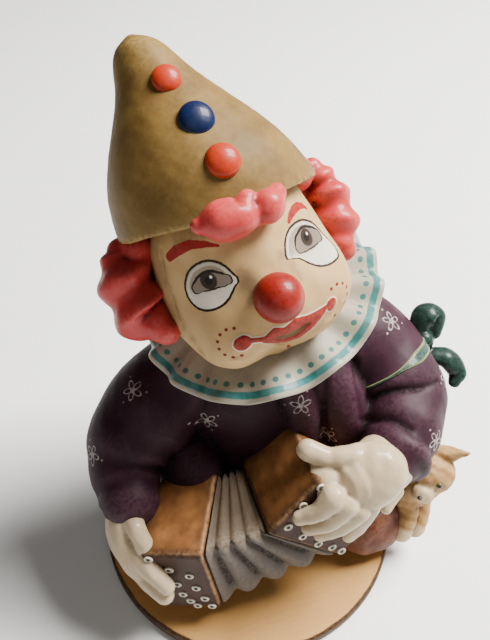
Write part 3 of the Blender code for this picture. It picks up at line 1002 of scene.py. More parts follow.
@dataclass(frozen=True)
class FacePaint(Paint):
    """Skin with painted eyes, brows, mouth and cheek dots."""

    line: Colour = (0.014, 0.006, 0.004)
    white: Colour = (0.66, 0.6, 0.5)
    # grey is painted shade: the tone that the eye's white takes towards its top, under the lid.
    grey: Colour = (0.3, 0.24, 0.18)
    eyeball: Colour = (0.2, 0.155, 0.12)
    iris: Colour = (0.03, 0.018, 0.013)
    red: Colour = (0.3, 0.012, 0.01)
    gap: Colour = (0.17, 0.085, 0.035)
    shadow: Colour = (0.11, 0.07, 0.035)
    shadow_place: Pair = (-6.2, 8.8)
    iris_radius: float = 3.0
    pupil_radius: float = 1.5
    glint_radius: float = 0.62
    rim_half: float = 0.33

    def strokes(self, graph: Graph, place: Value, strokes: Iterable[Stroke]) -> Socket:
        """The distance outside a set of brush strokes.

        Args:
            graph: The material's graph.
            place: The place on the unrolled face.
            strokes: The strokes.

        Returns:
            The distance.
        """
        nearest: Value = 99.0
        for stroke in strokes:
            nearest = graph.use(graph.effects.brush_stroke, {"Place": place, "Start": (*stroke.start, 0.0),
                "End": (*stroke.end, 0.0), "Start Radius": stroke.start_radius,
                "End Radius": stroke.end_radius, "Others": nearest}).outputs[0]
        return nearest

    def eye(self, graph: Graph, skin_colour: Value, place: Value, eye: Eye, wobble: Value) -> Socket:
        """The skin colour with one eye painted on it.

        Args:
            graph: The material's graph.
            skin_colour: The colour round it.
            place: The place on the unrolled face.
            eye: The eye.
            wobble: How far its lines stray.

        Returns:
            The colour.
        """
        rim = graph.plus(eye.rim.distance(graph, place), wobble)
        lid = graph.plus(eye.ball.distance(graph, place), wobble)
        # Painted shade: the white of the eye turns grey towards its top, under the lid.
        _, height, _ = graph.parts(graph.vector("SUBTRACT", place, (*eye.rim.centre, 0.0)))
        shaded = graph.blend(graph.fade(height, -3.5, 2.5), self.white, self.grey)
        band = graph.minus(graph.math("ABSOLUTE", graph.plus(rim, 1.0)), 0.45)
        shaded = graph.blend(graph.times(graph.fade(band, 0.3, -0.3), 0.7), shaded, self.white)
        colour = graph.blend(graph.fade(rim, 0.05, -0.1), skin_colour, shaded)
        gap = graph.measure("DISTANCE", place, (*eye.pupil, 0.0))
        iris = graph.blend(graph.fade(gap, self.iris_radius, self.iris_radius - 0.5), self.eyeball,
            self.iris)
        iris = graph.blend(graph.fade(gap, self.pupil_radius, self.pupil_radius - 0.4), iris,
            (0.006, 0.004, 0.003))
        # Painted highlight: a pale glint on the iris.
        glint = graph.measure("DISTANCE", place, (*eye.glint, 0.0))
        iris = graph.blend(graph.fade(glint, self.glint_radius, self.glint_radius - 0.32), iris,
            (0.85, 0.8, 0.7))
        colour = graph.blend(graph.fade(lid, 0.05, -0.1), colour, iris)
        _, above, _ = graph.parts(graph.vector("SUBTRACT", place, (*eye.ball.centre, 0.0)))
        thick = graph.math("MULTIPLY_ADD", graph.fade(above, 0.0, 1.5), 0.2, 0.24)
        lines = graph.math("MINIMUM", graph.minus(graph.math("ABSOLUTE", rim), self.rim_half),
            graph.minus(graph.math("ABSOLUTE", lid), thick))
        return graph.blend(graph.fade(lines, 0.12, -0.06), colour, self.line)

    def pigment(self, graph: Graph) -> Value:
        """The whole face, painted in head coordinates.

        Args:
            graph: The material's graph.

        Returns:
            The colour.
        """
        here = graph.vector("SUBTRACT", graph.place(), tuple(HEAD.centre + (0.0, 0.0, PLINTH_TOP)))
        right, front, up = (graph.measure("DOT_PRODUCT", here, tuple(axis))
            for axis in (HEAD.right, HEAD.front, HEAD.up))
        arc = graph.times(graph.math("ARCTAN2", right, front), FACE_ROUND)
        place = graph.joined(arc, up)
        wobble = graph.shaken(place, 1.1, 0.35, 2.0)
        # Painted shade, partly dirt, along those smears; then a painted shadow in the hollow between the
        # right eye and the nose.
        shade_smear = self.strokes(graph, place, SHADE_AND_DIRT_SMEARS)
        shade_and_dust = graph.times(graph.fade(shade_smear, 2.6, -0.4),
            graph.plus(0.3, graph.fade(graph.noise(place, 2.6), 0.3, 0.75)))
        colour = graph.blend(graph.times(shade_and_dust, 0.42, clamp=True), self.colour, self.dirt)
        dim = graph.fade(graph.measure("DISTANCE", place, (*self.shadow_place, 0.0)), 6.5, 1.0)
        colour = graph.blend(graph.times(dim, 0.7), colour, self.shadow)
        for eye in (RIGHT_EYE, LEFT_EYE):
            colour = self.eye(graph, colour, place, eye, wobble)
        mouth = graph.plus(self.strokes(graph, place, MOUTH), graph.times(wobble, 0.7))
        brows = graph.plus(self.strokes(graph, place, BROWS + CHIN_SPOT), wobble)
        colour = graph.blend(graph.times(graph.fade(mouth, 0.5, 0.3), 0.8), colour, self.white)
        red = graph.blend(graph.fade(graph.noise(place, 1.5), 0.35, 0.7), self.red, (0.2, 0.01, 0.009))
        colour = graph.blend(graph.fade(graph.math("MINIMUM", mouth, brows), 0.1, -0.1), colour, red)
        parted = self.strokes(graph, place, LIP_GAP)
        colour = graph.blend(graph.fade(parted, 0.15, -0.1), colour, self.gap)
        for centre, start, end in (((-17.5, -5.5), 0.9, 5.0), ((18.6, -8.6), -1.9, 2.2)):
            dots = graph.use(graph.effects.dot_arc, {"Place": place, "Centre": (*centre, 0.0),
                "Arc Radius": 4.7, "Spacing": 0.51, "Start": start, "End": end, "Dot Radius": 0.62})
            colour = graph.blend(dots.outputs[0], colour, (0.16, 0.008, 0.006))
        return colour


@dataclass(frozen=True)
class CollarPaint(Paint):
    """White glaze with a stripe inside the rim and a row of dots."""

    stripe: Colour = (0.045, 0.2, 0.2)
    dot: Colour = (0.025, 0.13, 0.12)
    stripe_reach: float = 0.952
    stripe_half: float = 0.027
    dot_reach: float = 0.872
    dot_count: int = 58
    radius: float = 43.0

    def pigment(self, graph: Graph) -> Value:
        """The stripe and dots by the place on the flat collar.

        Args:
            graph: The material's graph.

        Returns:
            The colour.
        """
        x, y, top = graph.parts(graph.attribute_vector("collar_place"))
        reach = graph.reach(x, y)
        shaky = graph.shaken(graph.place(), 3.0, 0.012)
        off = graph.math("ABSOLUTE", graph.minus(graph.plus(reach, shaky), self.stripe_reach))
        stripe = graph.fade(off, self.stripe_half + 0.004, self.stripe_half - 0.006)
        turn = graph.times(graph.math("ARCTAN2", y, x), self.dot_count / (2 * math.pi))
        step = 2 * math.pi * self.dot_reach * self.radius / self.dot_count
        across = graph.times(graph.minus(graph.math("FRACT", turn), 0.5), step)
        along = graph.times(graph.minus(reach, self.dot_reach), self.radius)
        gap = graph.reach(across, along)
        dots = graph.times(graph.fade(gap, 1.1, 0.8), 0.95)
        colour = graph.blend(graph.times(dots, top), self.colour, self.dot)
        uneven = graph.blend(graph.fade(graph.noise(graph.place(), 2.6), 0.3, 0.7), self.stripe, self.dot)
        return graph.blend(graph.times(stripe, top), colour, uneven)


@dataclass(frozen=True)
class TunicPaint(Paint):
    """Plum paint with scattered flowers drawn in white lines."""

    thread: Colour = (0.5, 0.44, 0.42)
    petals: int = 5
    petal_reach: float = 2.2
    petal_half: Pair = (1.55, 0.9)
    line: float = 0.17
    sprig_reach: float = 5.4

    def pigment(self, graph: Graph) -> Value:
        """Flowers by the place beside the nearest flower's middle.

        Args:
            graph: The material's graph.

        Returns:
            The colour.
        """
        x, y, far_off = graph.parts(graph.attribute_vector("flower_place"))
        shake = graph.shaken(graph.place(), 1.2, 0.5)
        turn = graph.math("ARCTAN2", y, x)
        reach = graph.plus(graph.reach(x, y), shake)
        wedge = 2 * math.pi / self.petals
        folded = graph.math("PINGPONG", turn, wedge / 2)
        along = graph.minus(graph.times(reach, graph.math("COSINE", folded)), self.petal_reach)
        across = graph.times(reach, graph.math("SINE", folded))
        oval = graph.measure("LENGTH", graph.joined(graph.math("DIVIDE", along, self.petal_half[0]),
            graph.math("DIVIDE", across, self.petal_half[1])))
        ring = graph.times(graph.math("ABSOLUTE", graph.minus(oval, 1.0)), self.petal_half[1])
        flower = graph.fade(ring, self.line + 0.1, self.line - 0.08)
        flower = graph.math("MAXIMUM", flower, graph.fade(reach, 0.55, 0.35))
        sprig = graph.math("PINGPONG", graph.plus(turn, 0.35), math.pi / 3)
        far = graph.measure("LENGTH", graph.joined(graph.minus(reach, self.sprig_reach),
            graph.times(sprig, self.sprig_reach)))
        flower = graph.math("MAXIMUM", flower, graph.fade(far, 0.5, 0.28))
        flower = graph.times(flower, graph.fade(far_off, 8.0, 7.0))
        faded = graph.times(flower, graph.fade(graph.noise(graph.place(), 1.0), 0.25, 0.6))
        return graph.blend(graph.times(faded, 0.85), self.colour, self.thread)


@dataclass(frozen=True)
class StainedBoxPaint(Paint):
    """Brown stain wiped over ochre, worn pale along the edges, with a darker front panel."""

    panel: Colour = (0.05, 0.022, 0.015)
    edge: Colour = (0.5, 0.29, 0.14)
    streak: Colour = (0.05, 0.02, 0.008)

    def pigment(self, graph: Graph) -> Value:
        """Stain, panel and edges by the place on the box.

        Args:
            graph: The material's graph.

        Returns:
            The colour.
        """
        out, back, down = graph.parts(graph.attribute_vector("box_place"))
        grain = graph.noise(graph.joined(graph.times(out, 1.3), graph.times(back, 0.8),
            graph.times(down, 1.3)), 5.0, 5.0)
        colour = graph.blend(graph.times(graph.fade(grain, 0.35, 0.8), 0.4), self.colour, self.streak)
        burnt = graph.times(graph.attribute("border"), 0.55)
        colour = graph.blend(burnt, colour, self.streak)
        colour = graph.blend(graph.fade(back, 0.9, 0.3), colour, self.panel)
        edge = graph.times(graph.attribute("edge"), graph.fade(graph.noise(graph.place(), 3.5), 0.2, 0.6))
        return graph.blend(graph.times(edge, 0.85, clamp=True), colour, self.edge)


@dataclass(frozen=True)
class BellowsPaint(Paint):
    """Grey-tan cloth, cooler on the front."""

    front: Colour = (0.085, 0.07, 0.06)

    def pigment(self, graph: Graph) -> Value:
        """The front colour where the surface faces the front."""
        return graph.blend(graph.attribute("fore"), self.colour, self.front)


@dataclass(frozen=True)
class FurPaint(Paint):
    """Cream fur with ginger stripes and a painted face."""

    stripe: Colour = (0.26, 0.115, 0.038)
    white: Colour = (0.6, 0.47, 0.3)

    def pigment(self, graph: Graph) -> Value:
        """Stripes across the body, and a white muzzle and paws.

        Args:
            graph: The material's graph.

        Returns:
            The colour.
        """
        bands = graph.node("ShaderNodeTexWave", {"Vector": graph.place(), "Scale": 0.075, "Distortion": 14.0,
            "Detail": 3.0, "Detail Scale": 0.25}, wave_type="BANDS", bands_direction="DIAGONAL")
        colour = graph.blend(graph.times(graph.fade(bands.outputs["Fac"], 0.4, 0.9), 0.7), self.colour,
            self.stripe)
        return graph.blend(graph.attribute("pale"), colour, self.white)


@dataclass(frozen=True)
class BandPaint(Paint):
    """Dark green ribbon with pale edges."""

    edging: Colour = (0.28, 0.3, 0.09)

    def pigment(self, graph: Graph) -> Value:
        """Pale lines along both edges of the ribbon."""
        return graph.blend(graph.attribute("hem"), self.colour, self.edging)


@dataclass(frozen=True)
class WoodFinish(Paint):
    """Varnished wood with a pale turned top, and painted shade that darkens its rounded rim."""

    # edge is the colour of the painted shade on the rim.
    edge: Colour = (0.045, 0.02, 0.009)
    radius: float = 60.0

    def pigment(self, graph: Graph) -> Value:
        """Fine grain along one way, and painted shade on the rim by the distance from the middle.

        Args:
            graph: The material's graph.

        Returns:
            The colour.
        """
        x, y, z = graph.parts(graph.place())
        grain = graph.noise(graph.joined(graph.times(x, 0.12), graph.times(y, 1.6), z), 2.2, 6.0)
        colour = graph.blend(graph.times(graph.fade(grain, 0.4, 0.7), 0.16), self.colour, self.shade)
        # Painted shade: from about a millimetre inside the radius outwards, over the rounded rim and the
        # side, the wood turns dark.
        reach = graph.reach(x, y)
        reach = graph.plus(reach, graph.times(graph.noise(graph.place(), 4.0), 0.8))
        return graph.blend(graph.fade(reach, self.radius - 1.1, self.radius - 0.5), colour, self.edge)


# Sub-assemblies


class Workshop:
    """Dresses pieces, hangs them on the root body and keeps a list of them."""

    def __init__(self) -> None:
        """Starts with no pieces and no finishes."""
        self.effects = SharedEffects()
        self.pieces: list[Thing] = []
        self.finishes: dict[str, Material] = {}

    def material(self, finish: Paint) -> Material:
        """The finish's material, built once.

        Args:
            finish: The finish.

        Returns:
            The material.
        """
        if finish.name not in self.finishes:
            self.finishes[finish.name] = finish.build(self.effects)
        return self.finishes[finish.name]

    def place(self, thing: Thing, finish: Paint, node: str = "figure", slot: str = CERAMIC) -> None:
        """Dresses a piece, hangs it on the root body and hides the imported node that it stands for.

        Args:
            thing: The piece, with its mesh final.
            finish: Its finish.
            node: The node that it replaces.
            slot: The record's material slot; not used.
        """
        if "hollow" not in thing.data.attributes:
            Surface(thing).mark_relief()
        if finish.name not in [material.name for material in thing.data.materials if material]:
            thing.data.materials.clear()
            thing.data.materials.append(self.material(finish))
        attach(thing, "root")
        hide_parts(node)
        self.pieces.append(thing)
        thing.data.calc_loop_triangles()
        LOG.info("%s: %d triangles", thing.name, len(thing.data.loop_triangles))


@dataclass
class Hat:
    """The pointed hat with three domed buttons down its front."""

    length: float = 55.0
    radius: float = 33.0
    lean: float = -7.8
    outline: tuple[Point, ...] = ((0.0, 0.98, 0.88), (0.22, 0.89, 0.85), (0.4, 0.73, 0.72),
        (0.56, 0.55, 0.55), (0.72, 0.375, 0.375), (0.92, 0.22, 0.22))
    buttons: tuple[tuple[str, float, float, float], ...] = (("top", 4, 38.8, 4.3), ("middle", 4, 25.8, 5.2),
        ("low", 3, 13.2, 5.0))
    felt: Paint = Paint("hat_ochre", (0.1742, 0.1016, 0.0255), (0.103, 0.0569, 0.0135),
        light=(0.396, 0.2764, 0.105), mottle=0.75, mottle_size=13.0, speckle=0.3, dirt_amount=0.8, wear=0.4)
    orange: Paint = Paint("button_orange", (0.34, 0.022, 0.0045), (0.25, 0.012, 0.003),
        light=(0.5, 0.1, 0.04), dirt=(0.12, 0.012, 0.005), gloss=Gloss.GLAZE, mottle=0.3, mottle_size=3.0)
    blue: Paint = Paint("button_blue", (0.0025, 0.0075, 0.04), (0.002, 0.004, 0.02),
        light=(0.01, 0.03, 0.12), dirt=(0.004, 0.006, 0.016), gloss=Gloss.GLAZE, mottle=0.3, mottle_size=3.0)

    def cone(self) -> Thing:
        """The hat itself, a little uneven as pressed clay is.

        Returns:
            The hat.
        """
        rim = self.radius * 0.92
        stations: list[tuple[float, ...]] = [(-0.3, rim, self.radius * 0.81, rim)]
        for share, reach, fore in self.outline:
            stations.append((self.length * share, self.radius * reach, self.radius * fore,
                self.radius * reach))
        stations.append((self.length, 0.5, 0.5, 0.5))
        thing = cast("hat", [loft(BRIM.centre, BRIM.right, BRIM.up, stations, sides=96, steps=60,
            lean=(self.lean, 0.0))], voxel=0.7)
        surface = Surface(thing)
        surface.pushed(0.16 * ripple(surface.points, 19.0, 4) + 0.04 * ripple(surface.points, 4.0, 5))
        return thing

    def surface_place(self, turn: float, height: float) -> tuple[Array, Array]:
        """A place on the hat and the way out of it, from a turn to the right and a height.

        Args:
            turn: Degrees from the front.
            height: Millimetres above the brim.

        Returns:
            The place and the way out.
        """
        share = height / self.length
        shares, _, fores = zip(*self.outline)
        reach = self.radius * float(np.interp(share, shares, fores))
        angle = math.radians(turn)
        out = BRIM.right * math.sin(angle) + BRIM.front * math.cos(angle)
        return BRIM.at(self.lean * share, 0, height) + out * reach, out

    def build(self, shop: Workshop) -> None:
        """Builds and dresses the hat and its buttons.

        Args:
            shop: The workshop.
        """
        shop.place(self.cone(), self.felt)
        for label, turn, height, radius in self.buttons:
            place, out = self.surface_place(turn, height)
            dome = ball(place, (radius, radius, radius * 0.55), right=BRIM.right, up=out + BRIM.up * 0.35,
                sides=56)
            thing = mesh_object("hat_button_" + label, [dome])
            shop.place(thing, self.blue if label == "middle" else self.orange)


@dataclass
class Face:
    """The head with its painted face, and the round nose."""

    width: float = 57.0
    nose_radius: float = 7.4
    skin: FacePaint = FacePaint("face_paint", (0.5029, 0.3255, 0.145), (0.3852, 0.2363, 0.098),
        dirt=(0.091, 0.0525, 0.028), light=(0.5992, 0.4305, 0.24), mottle=0.55, mottle_size=10.0,
        dirt_amount=0.75, speckle=0.14)
    red: Paint = Paint("nose_red", (0.2, 0.0065, 0.0035), (0.14, 0.004, 0.003), light=(0.4, 0.06, 0.04),
        gloss=Gloss.GLAZE, mottle_size=5.0, speckle=0.1)

    def head(self) -> Thing:
        """The head, with cheeks, chin, sockets, parted lips and the edge of the bald cap.

        Returns:
            The head.
        """
        half = self.width / 2
        stations = [(-22, 0.5, 0.5, 0.5), (-19.5, 13, 14, 9), (-14, 20, 21, 15), (-7, 0.9 * half, 25, 21),
            (2, half, 26.5, 24), (12, 0.98 * half, 26, 25), (21, 0.93 * half, 25, 24.5), (29, 24, 23, 22),
            (36, 16, 15, 15), (39, 0.5, 0.5, 0.5)]
        lumps = [(HEAD.at(-19, 16, -12), 11, 4.6), (HEAD.at(22, 14, -7), 12, 4.6),
            (HEAD.at(15, 17, -18), 10, 0.6), (HEAD.at(-6, 19, -23), 11, -6.5),
            (HEAD.at(-16, 20, 11), 9, -1.6), (HEAD.at(16, 20, 11), 9, -1.6)]
        form = swollen(loft(HEAD.centre, HEAD.right, HEAD.up, stations, sides=110, steps=80), HEAD.centre,
            lumps)
        neck = limb([(9, 21, 84, 14), (*HEAD.at(0, 0, -8), 14)])
        thing = cast("face", [form, neck], voxel=0.55)
        surface = Surface(thing)
        places = HEAD.unrolled(surface.points)
        lips, parted, cap = (np.min([stroke.distance(places) for stroke in strokes], axis=0)
            for strokes in (MOUTH, LIP_GAP, CAP_LINE))
        relief = 0.55 * soft_step(-lips, -0.9, 0.9) - 0.9 * soft_step(-parted, -0.5, 0.6)
        relief += 0.5 * soft_step(-np.abs(lips - 3.6), -1.8, 0.4) * (places[:, 1] < -10)
        relief -= 0.4 * soft_step(-cap, -0.9, 0.2)
        front = (surface.points - HEAD.centre) @ HEAD.front > 0
        surface.pushed(relief * front + 0.08 * ripple(surface.points, 9.0, 11))
        return thing

    def build(self, shop: Workshop) -> None:
        """Builds and dresses the head and the nose.

        Args:
            shop: The workshop.
        """
        shop.place(self.head(), self.skin)
        radius = self.nose_radius
        shop.place(mesh_object("nose", [ball(HEAD.at(-0.5, 28.5, 2.3), (radius,) * 3, sides=64)]), self.red)


@dataclass(frozen=True)
class Curl:
    """A twisted curl from rows of reach to one side of the head, front, height and radius."""

    side: int
    route: tuple[tuple[float, float, float, float], ...]
    folds: Folds

    def form(self) -> Form:
        """The curl as a limb."""
        rows = [(*HEAD.at(self.side * reach, front, lift), radius)
            for reach, front, lift, radius in self.route]
        return limb(rows, folds=self.folds, sides=48, steps=90)


@dataclass
class Hair:
    """A twisted curl at either side, the roll that joins them behind, and the tuft over the forehead."""

    curls: tuple[Curl, ...] = (
        Curl(-1, ((33, -4, 30, 4), (34.5, -3, 25, 7.8), (35.5, -2, 16.5, 8.8), (35, -1, 8.5, 8.2),
            (31, 3, 2.5, 4.5)), Folds(3.2, 0.15, 0.0, 0.4, 1.0)),
        Curl(1, ((36, -6, 27, 3.6), (37, -6, 21.5, 5.2), (37.3, -5, 15, 6.4), (36, -4, 6, 6.6),
            (34, -3, -1.5, 4.2)), Folds(3.6, 0.15, 0.0, 2.4, -1.0)),
        Curl(1, ((-31, -12, 14, 7), (-19, -25, 13, 7.5), (0, -29, 12, 8), (19, -25, 13, 7.5),
            (31, -12, 14, 7)), Folds(7, 0.1, 0.2, 0.4)),
        Curl(1, ((-12.5, 26, 30.3, 2.6), (-7.5, 27, 29.3, 6.0), (-1, 27.5, 28.3, 5.9), (2.0, 27, 31.0, 3.8)),
            Folds(1.5, 0.01, 0.2, 0.4)),
        Curl(1, ((3.4, 27.5, 26.0, 3.2), (7, 28, 27, 5.0), (11, 26, 29, 3.4)), Folds(1.5, 0.01, 0.2, 0.4)))
    paint: Paint = Paint("hair_red", (0.44, 0.0377, 0.0344), (0.34, 0.0213, 0.0213),
        dirt=(0.08, 0.0041, 0.0049), light=(0.6, 0.123, 0.1066), gloss=Gloss.GLAZE, mottle_size=6.0,
        dirt_amount=0.95, wear=0.35)

    def forms(self) -> list[Form]:
        """Every curl, and the locks that fill in behind the ears.

        Returns:
            The shapes.
        """
        forms = [curl.form() for curl in self.curls]
        for side in Side:
            for reach, front, lift, radii in ((32, -13, 20, (8, 7, 9)), (30, -12, 8, (8, 8, 8)),
                    (28.5, -3, 28.5, (6, 7, 6.5))):
                forms.append(ball(HEAD.at(side.value * reach, front, lift), radii, right=HEAD.right,
                    up=HEAD.up))
        return forms

    def build(self, shop: Workshop) -> None:
        """Builds and dresses the hair, with shallow combed grooves.

        Args:
            shop: The workshop.
        """
        thing = cast("hair", self.forms(), voxel=0.6, smooth=3)
        surface = Surface(thing)
        away = surface.points - HEAD.centre
        combed = np.sin((away @ HEAD.front) * 0.75 + (away @ HEAD.up) * 0.35
            + ripple(surface.points, 9.0, 21))
        surface.pushed(0.1 * combed + 0.06 * ripple(surface.points, 5.0, 22))
        shop.place(thing, self.paint)


@dataclass
class Collar:
    """The wide wavy collar."""

    centre: Point = (12.5, 22.5, 100.0)
    right: Point = (0.959, 0.0, 0.284)
    up: Point = (-0.284, 0.0, 0.959)
    radius: float = 43.0
    waves: int = 15
    wave_height: float = 1.7
    sides: int = 480
    rows: int = 60
    outline: tuple[Pair, ...] = ((0.25, 8.5), (0.55, 6.2), (0.8, 3.2), (0.95, 1.5), (1.0, 0.3), (1.0, -0.8),
        (0.95, -1.8), (0.8, -2.1), (0.55, -2.1), (0.25, -5.2))
    paint: CollarPaint = CollarPaint("collar_white", (0.3481, 0.3151, 0.2464), (0.2611, 0.2302, 0.1736),
        dirt=(0.0746, 0.0545, 0.0336), light=(0.4973, 0.4665, 0.392), gloss=Gloss.GLAZE, mottle=0.35,
        mottle_size=7.0, speckle=0.05, dirt_amount=0.5)

    def build(self, shop: Workshop) -> None:
        """Builds the collar from its outline and keeps each point's place on the flat disc.

        Args:
            shop: The workshop.
        """
        side, front, rise = axes_of(self.right, self.up)
        centre = vec(self.centre)
        turns = full_turn(self.sides)
        wave = np.sin(self.waves * turns + 1.2 * np.sin(2 * turns))
        rings = []
        flats = [np.zeros((1, 3))]
        profile = smooth_row(self.outline, self.rows)
        half = int(np.argmax(profile[:, 0] + 0.001 * profile[:, 1]))
        for row, (reach, lift) in enumerate(profile):
            radius = self.radius * reach * (1 + 0.02 * wave)
            height = lift + self.wave_height * reach ** 1.5 * wave
            rings.append(list(centre + np.outer(radius * np.cos(turns), side)
                + np.outer(radius * np.sin(turns), front) + np.outer(height, rise)))
            top = 1.0 if row <= half else 0.0
            flats.append(np.stack([reach * np.cos(turns), reach * np.sin(turns), np.full(self.sides, top)],
                axis=1))
        flats.append(np.zeros((1, 3)))
        thing = mesh_object("collar", [skin(rings, centre + rise * 7, centre - rise * 6)])
        surface = Surface(thing)
        surface.store("collar_place", np.vstack(flats))
        shop.place(thing, self.paint)


def cuff(centre: Row, way: Row, radius: float, thickness: float = 3.2, sides: int = 64,
        around: int = 20) -> Form:
    """A rolled cuff: a thick ring round the wrist, closed across its hole.

    Args:
        centre: Its middle.
        way: The direction of the wrist.
        radius: The radius of the hole.
        thickness: The radius of the roll.
        sides: How many sides it has.
        around: How many rings go round the roll.

    Returns:
        The shape.
    """
    side, front, rise = axes_of(np.cross(unit(way), (0.3, 0.2, 0.9)), way)
    turns = full_turn(sides)
    rings = []
    for step in range(around):
        turn = math.pi * (step + 0.5) / around
        reach = radius + thickness * math.sin(turn)
        lift = -thickness * math.cos(turn) * 1.25
        rings.append(list(vec(centre) + rise * lift + np.outer(np.cos(turns) * reach, side)
            + np.outer(np.sin(turns) * reach, front)))
    return skin(rings, vec(centre) - rise * thickness, vec(centre) + rise * thickness)


@dataclass
class Tunic:
    """The tunic with both sleeves, its folds and rolled cuffs, and the ribbon round the left arm."""

    flowers: tuple[Point, ...] = ((-38.0, 13.6, 80.5), (-15.0, 2.3, 66.8), (15.2, -10.8, 78.1),
        (56.7, 3.6, 91.1), (58.3, -33.4, 66.6), (-55, 6, 60), (-50, 24, 66), (70, 0, 62), (66, 22, 80),
        (40, 40, 88), (-20, 45, 76), (10, 52, 70), (34, 52, 50), (-14, 50, 44), (12, 52, 26), (-38, 34, 40),
        (52, 36, 52), (74, -14, 74), (30, -12, 60))
    creases: tuple[tuple[Point, ...], ...] = (
        ((40.0, -11.0, 69.0), (43.2, -12.3, 71.7), (47.0, -14.1, 75.2), (52.2, -16.4, 77.2),
            (58.5, -18.0, 77.6), (66.4, -16.8, 76.4)),
        ((37.4, -17.6, 67.9), (40.4, -20.6, 69.8), (44.5, -24.7, 73.0), (48.7, -30.0, 72.6)),
        ((25.5, -7.8, 84.0), (24.7, -11.0, 77.1), (24.6, -12.3, 67.2), (25.8, -12.2, 54.0)),
        ((39.8, -2.5, 83.4), (37.5, -9.9, 78.8), (36.9, -14.8, 73.5), (36.1, -17.7, 68.7)))
    crease_depth: float = 0.9
    crease_width: float = 1.3
    band_centre: Point = (55.2, 1.6, 69.3)
    band_way: Point = (-0.299, 0.689, 0.66)
    band_tip: Point = (45.3, -11.2, 78.1)
    band_half: float = 2.2
    paint: TunicPaint = TunicPaint("tunic_plum", (0.0302, 0.0084, 0.0174), (0.0144, 0.0039, 0.0081),
        dirt=(0.0058, 0.0026, 0.0031), light=(0.1224, 0.065, 0.0806), mottle=0.5, mottle_size=14.0,
        speckle=0.06, wear=0.3)
    ribbon: BandPaint = BandPaint("ribbon_green", (0.004, 0.0161, 0.012), (0.002, 0.0081, 0.006),
        dirt=(0.004, 0.0062, 0.0048), light=(0.066, 0.1364, 0.108), gloss=Gloss.GLAZE, mottle_size=4.0,
        wear=0.5)

    @staticmethod
    def left_sleeve() -> Form:
        """The sleeve at the viewer's right."""
        return limb([(30, 24, 84, 18), (44, 17, 79, 18.5), (55, 3, 70, 18.5), (57, -11, 63, 17),
            (51, -22, 61, 14.8), (45, -29, 60, 12.5)], folds=Folds(4, 0.03), sides=56, steps=60)

    def forms(self) -> list[Form]:
        """Body, sleeves, folds and cuffs.

        Returns:
            The shapes.
        """
        stations = [(0, 20, 18, 18), (4, 31, 26, 26), (14, 35, 29, 28), (24, 33, 28, 26), (40, 32, 28, 23),
            (58, 34, 29, 23), (72, 36, 28, 22), (84, 27, 24, 20), (94, 18, 16, 15), (102, 8, 8, 8)]
        body = loft((9, 21, -2), (1, 0, 0), (0, 0, 1), stations, lean=(5.0, 0.0))
        right = limb([(-10, 24, 76, 17), (-24, 20, 68, 18), (-38.5, 13.5, 59.3, 17.5),
            (-46, 4.9, 52.5, 14.2), (-47.7, -2.8, 49.2, 11.8), (-48, -8, 48, 10.8)], folds=Folds(4, 0.025),
            sides=56, steps=60)
        return [body, right, self.left_sleeve(),
            limb([(24, 6, 86, 9), (31, -4, 74, 10), (35, -10, 60, 10), (34, -8, 48, 9)]),
            limb([(14, 0, 84, 7), (18, -6, 72, 7), (20, -8, 58, 7)]),
            ball((38, 4, 34), (19, 20, 19)), ball((-22, 7, 38), (14, 18, 18)),
            cuff((-48.5, -8.5, 47.5), (-0.25, -0.9, -0.35), 9.0, 2.2),
            cuff((45.0, -30.0, 59.5), (-0.72, -0.66, -0.1), 11.0, 2.6)]

    def sew(self) -> Thing:
        """The tunic's skin with soft creases, and each point's place beside its nearest flower.

        Returns:
            The tunic.
        """
        thing = cast("tunic", self.forms(), voxel=0.85, smooth=6)
        surface = Surface(thing)
        sag = ripple(surface.points * (1.0, 1.0, 0.6), 13.0, 31)
        surface.pushed(0.16 * sag + 0.05 * ripple(surface.points, 6.0, 32) - self.crease_depth
            * self.folded(surface.points))
        normals = surface.normals()
        middles = vec(self.flowers)
        nearest = np.argmin([np.sum((surface.points - middle) ** 2, axis=1) for middle in middles], axis=0)
        places = np.zeros_like(surface.points)
        for index, middle in enumerate(middles):
            mine = nearest == index
            closest = int(np.argmin(np.sum((surface.points - middle) ** 2, axis=1)))
            side, lift, _ = axes_of(np.cross((0.1, 0.2, 1.0), normals[closest]), normals[closest])
            away = surface.points[mine] - surface.points[closest]
            turn = 1.7 * index
            flat = np.stack([away @ side, away @ lift], axis=1)
            spin = np.array([[math.cos(turn), -math.sin(turn)], [math.sin(turn), math.cos(turn)]])
            places[mine, :2] = flat @ spin
        places[:, 2] = np.min([lengths(surface.points - middle) for middle in middles], axis=0)
        surface.store("flower_place", places)
        return thing

    def folded(self, points: Array) -> Array:
        """How deep each point lies in a crease, from 0 to 1.

        Args:
            points: The points.

        Returns:
            A depth for each.
        """
        deep = np.zeros(len(points))
        for crease in self.creases:
            line = smooth_row(crease, 40)
            gap = np.min([lengths(points - place) for place in line], axis=0)
            deep = np.maximum(deep, np.exp(-(gap / self.crease_width) ** 2))
        return deep

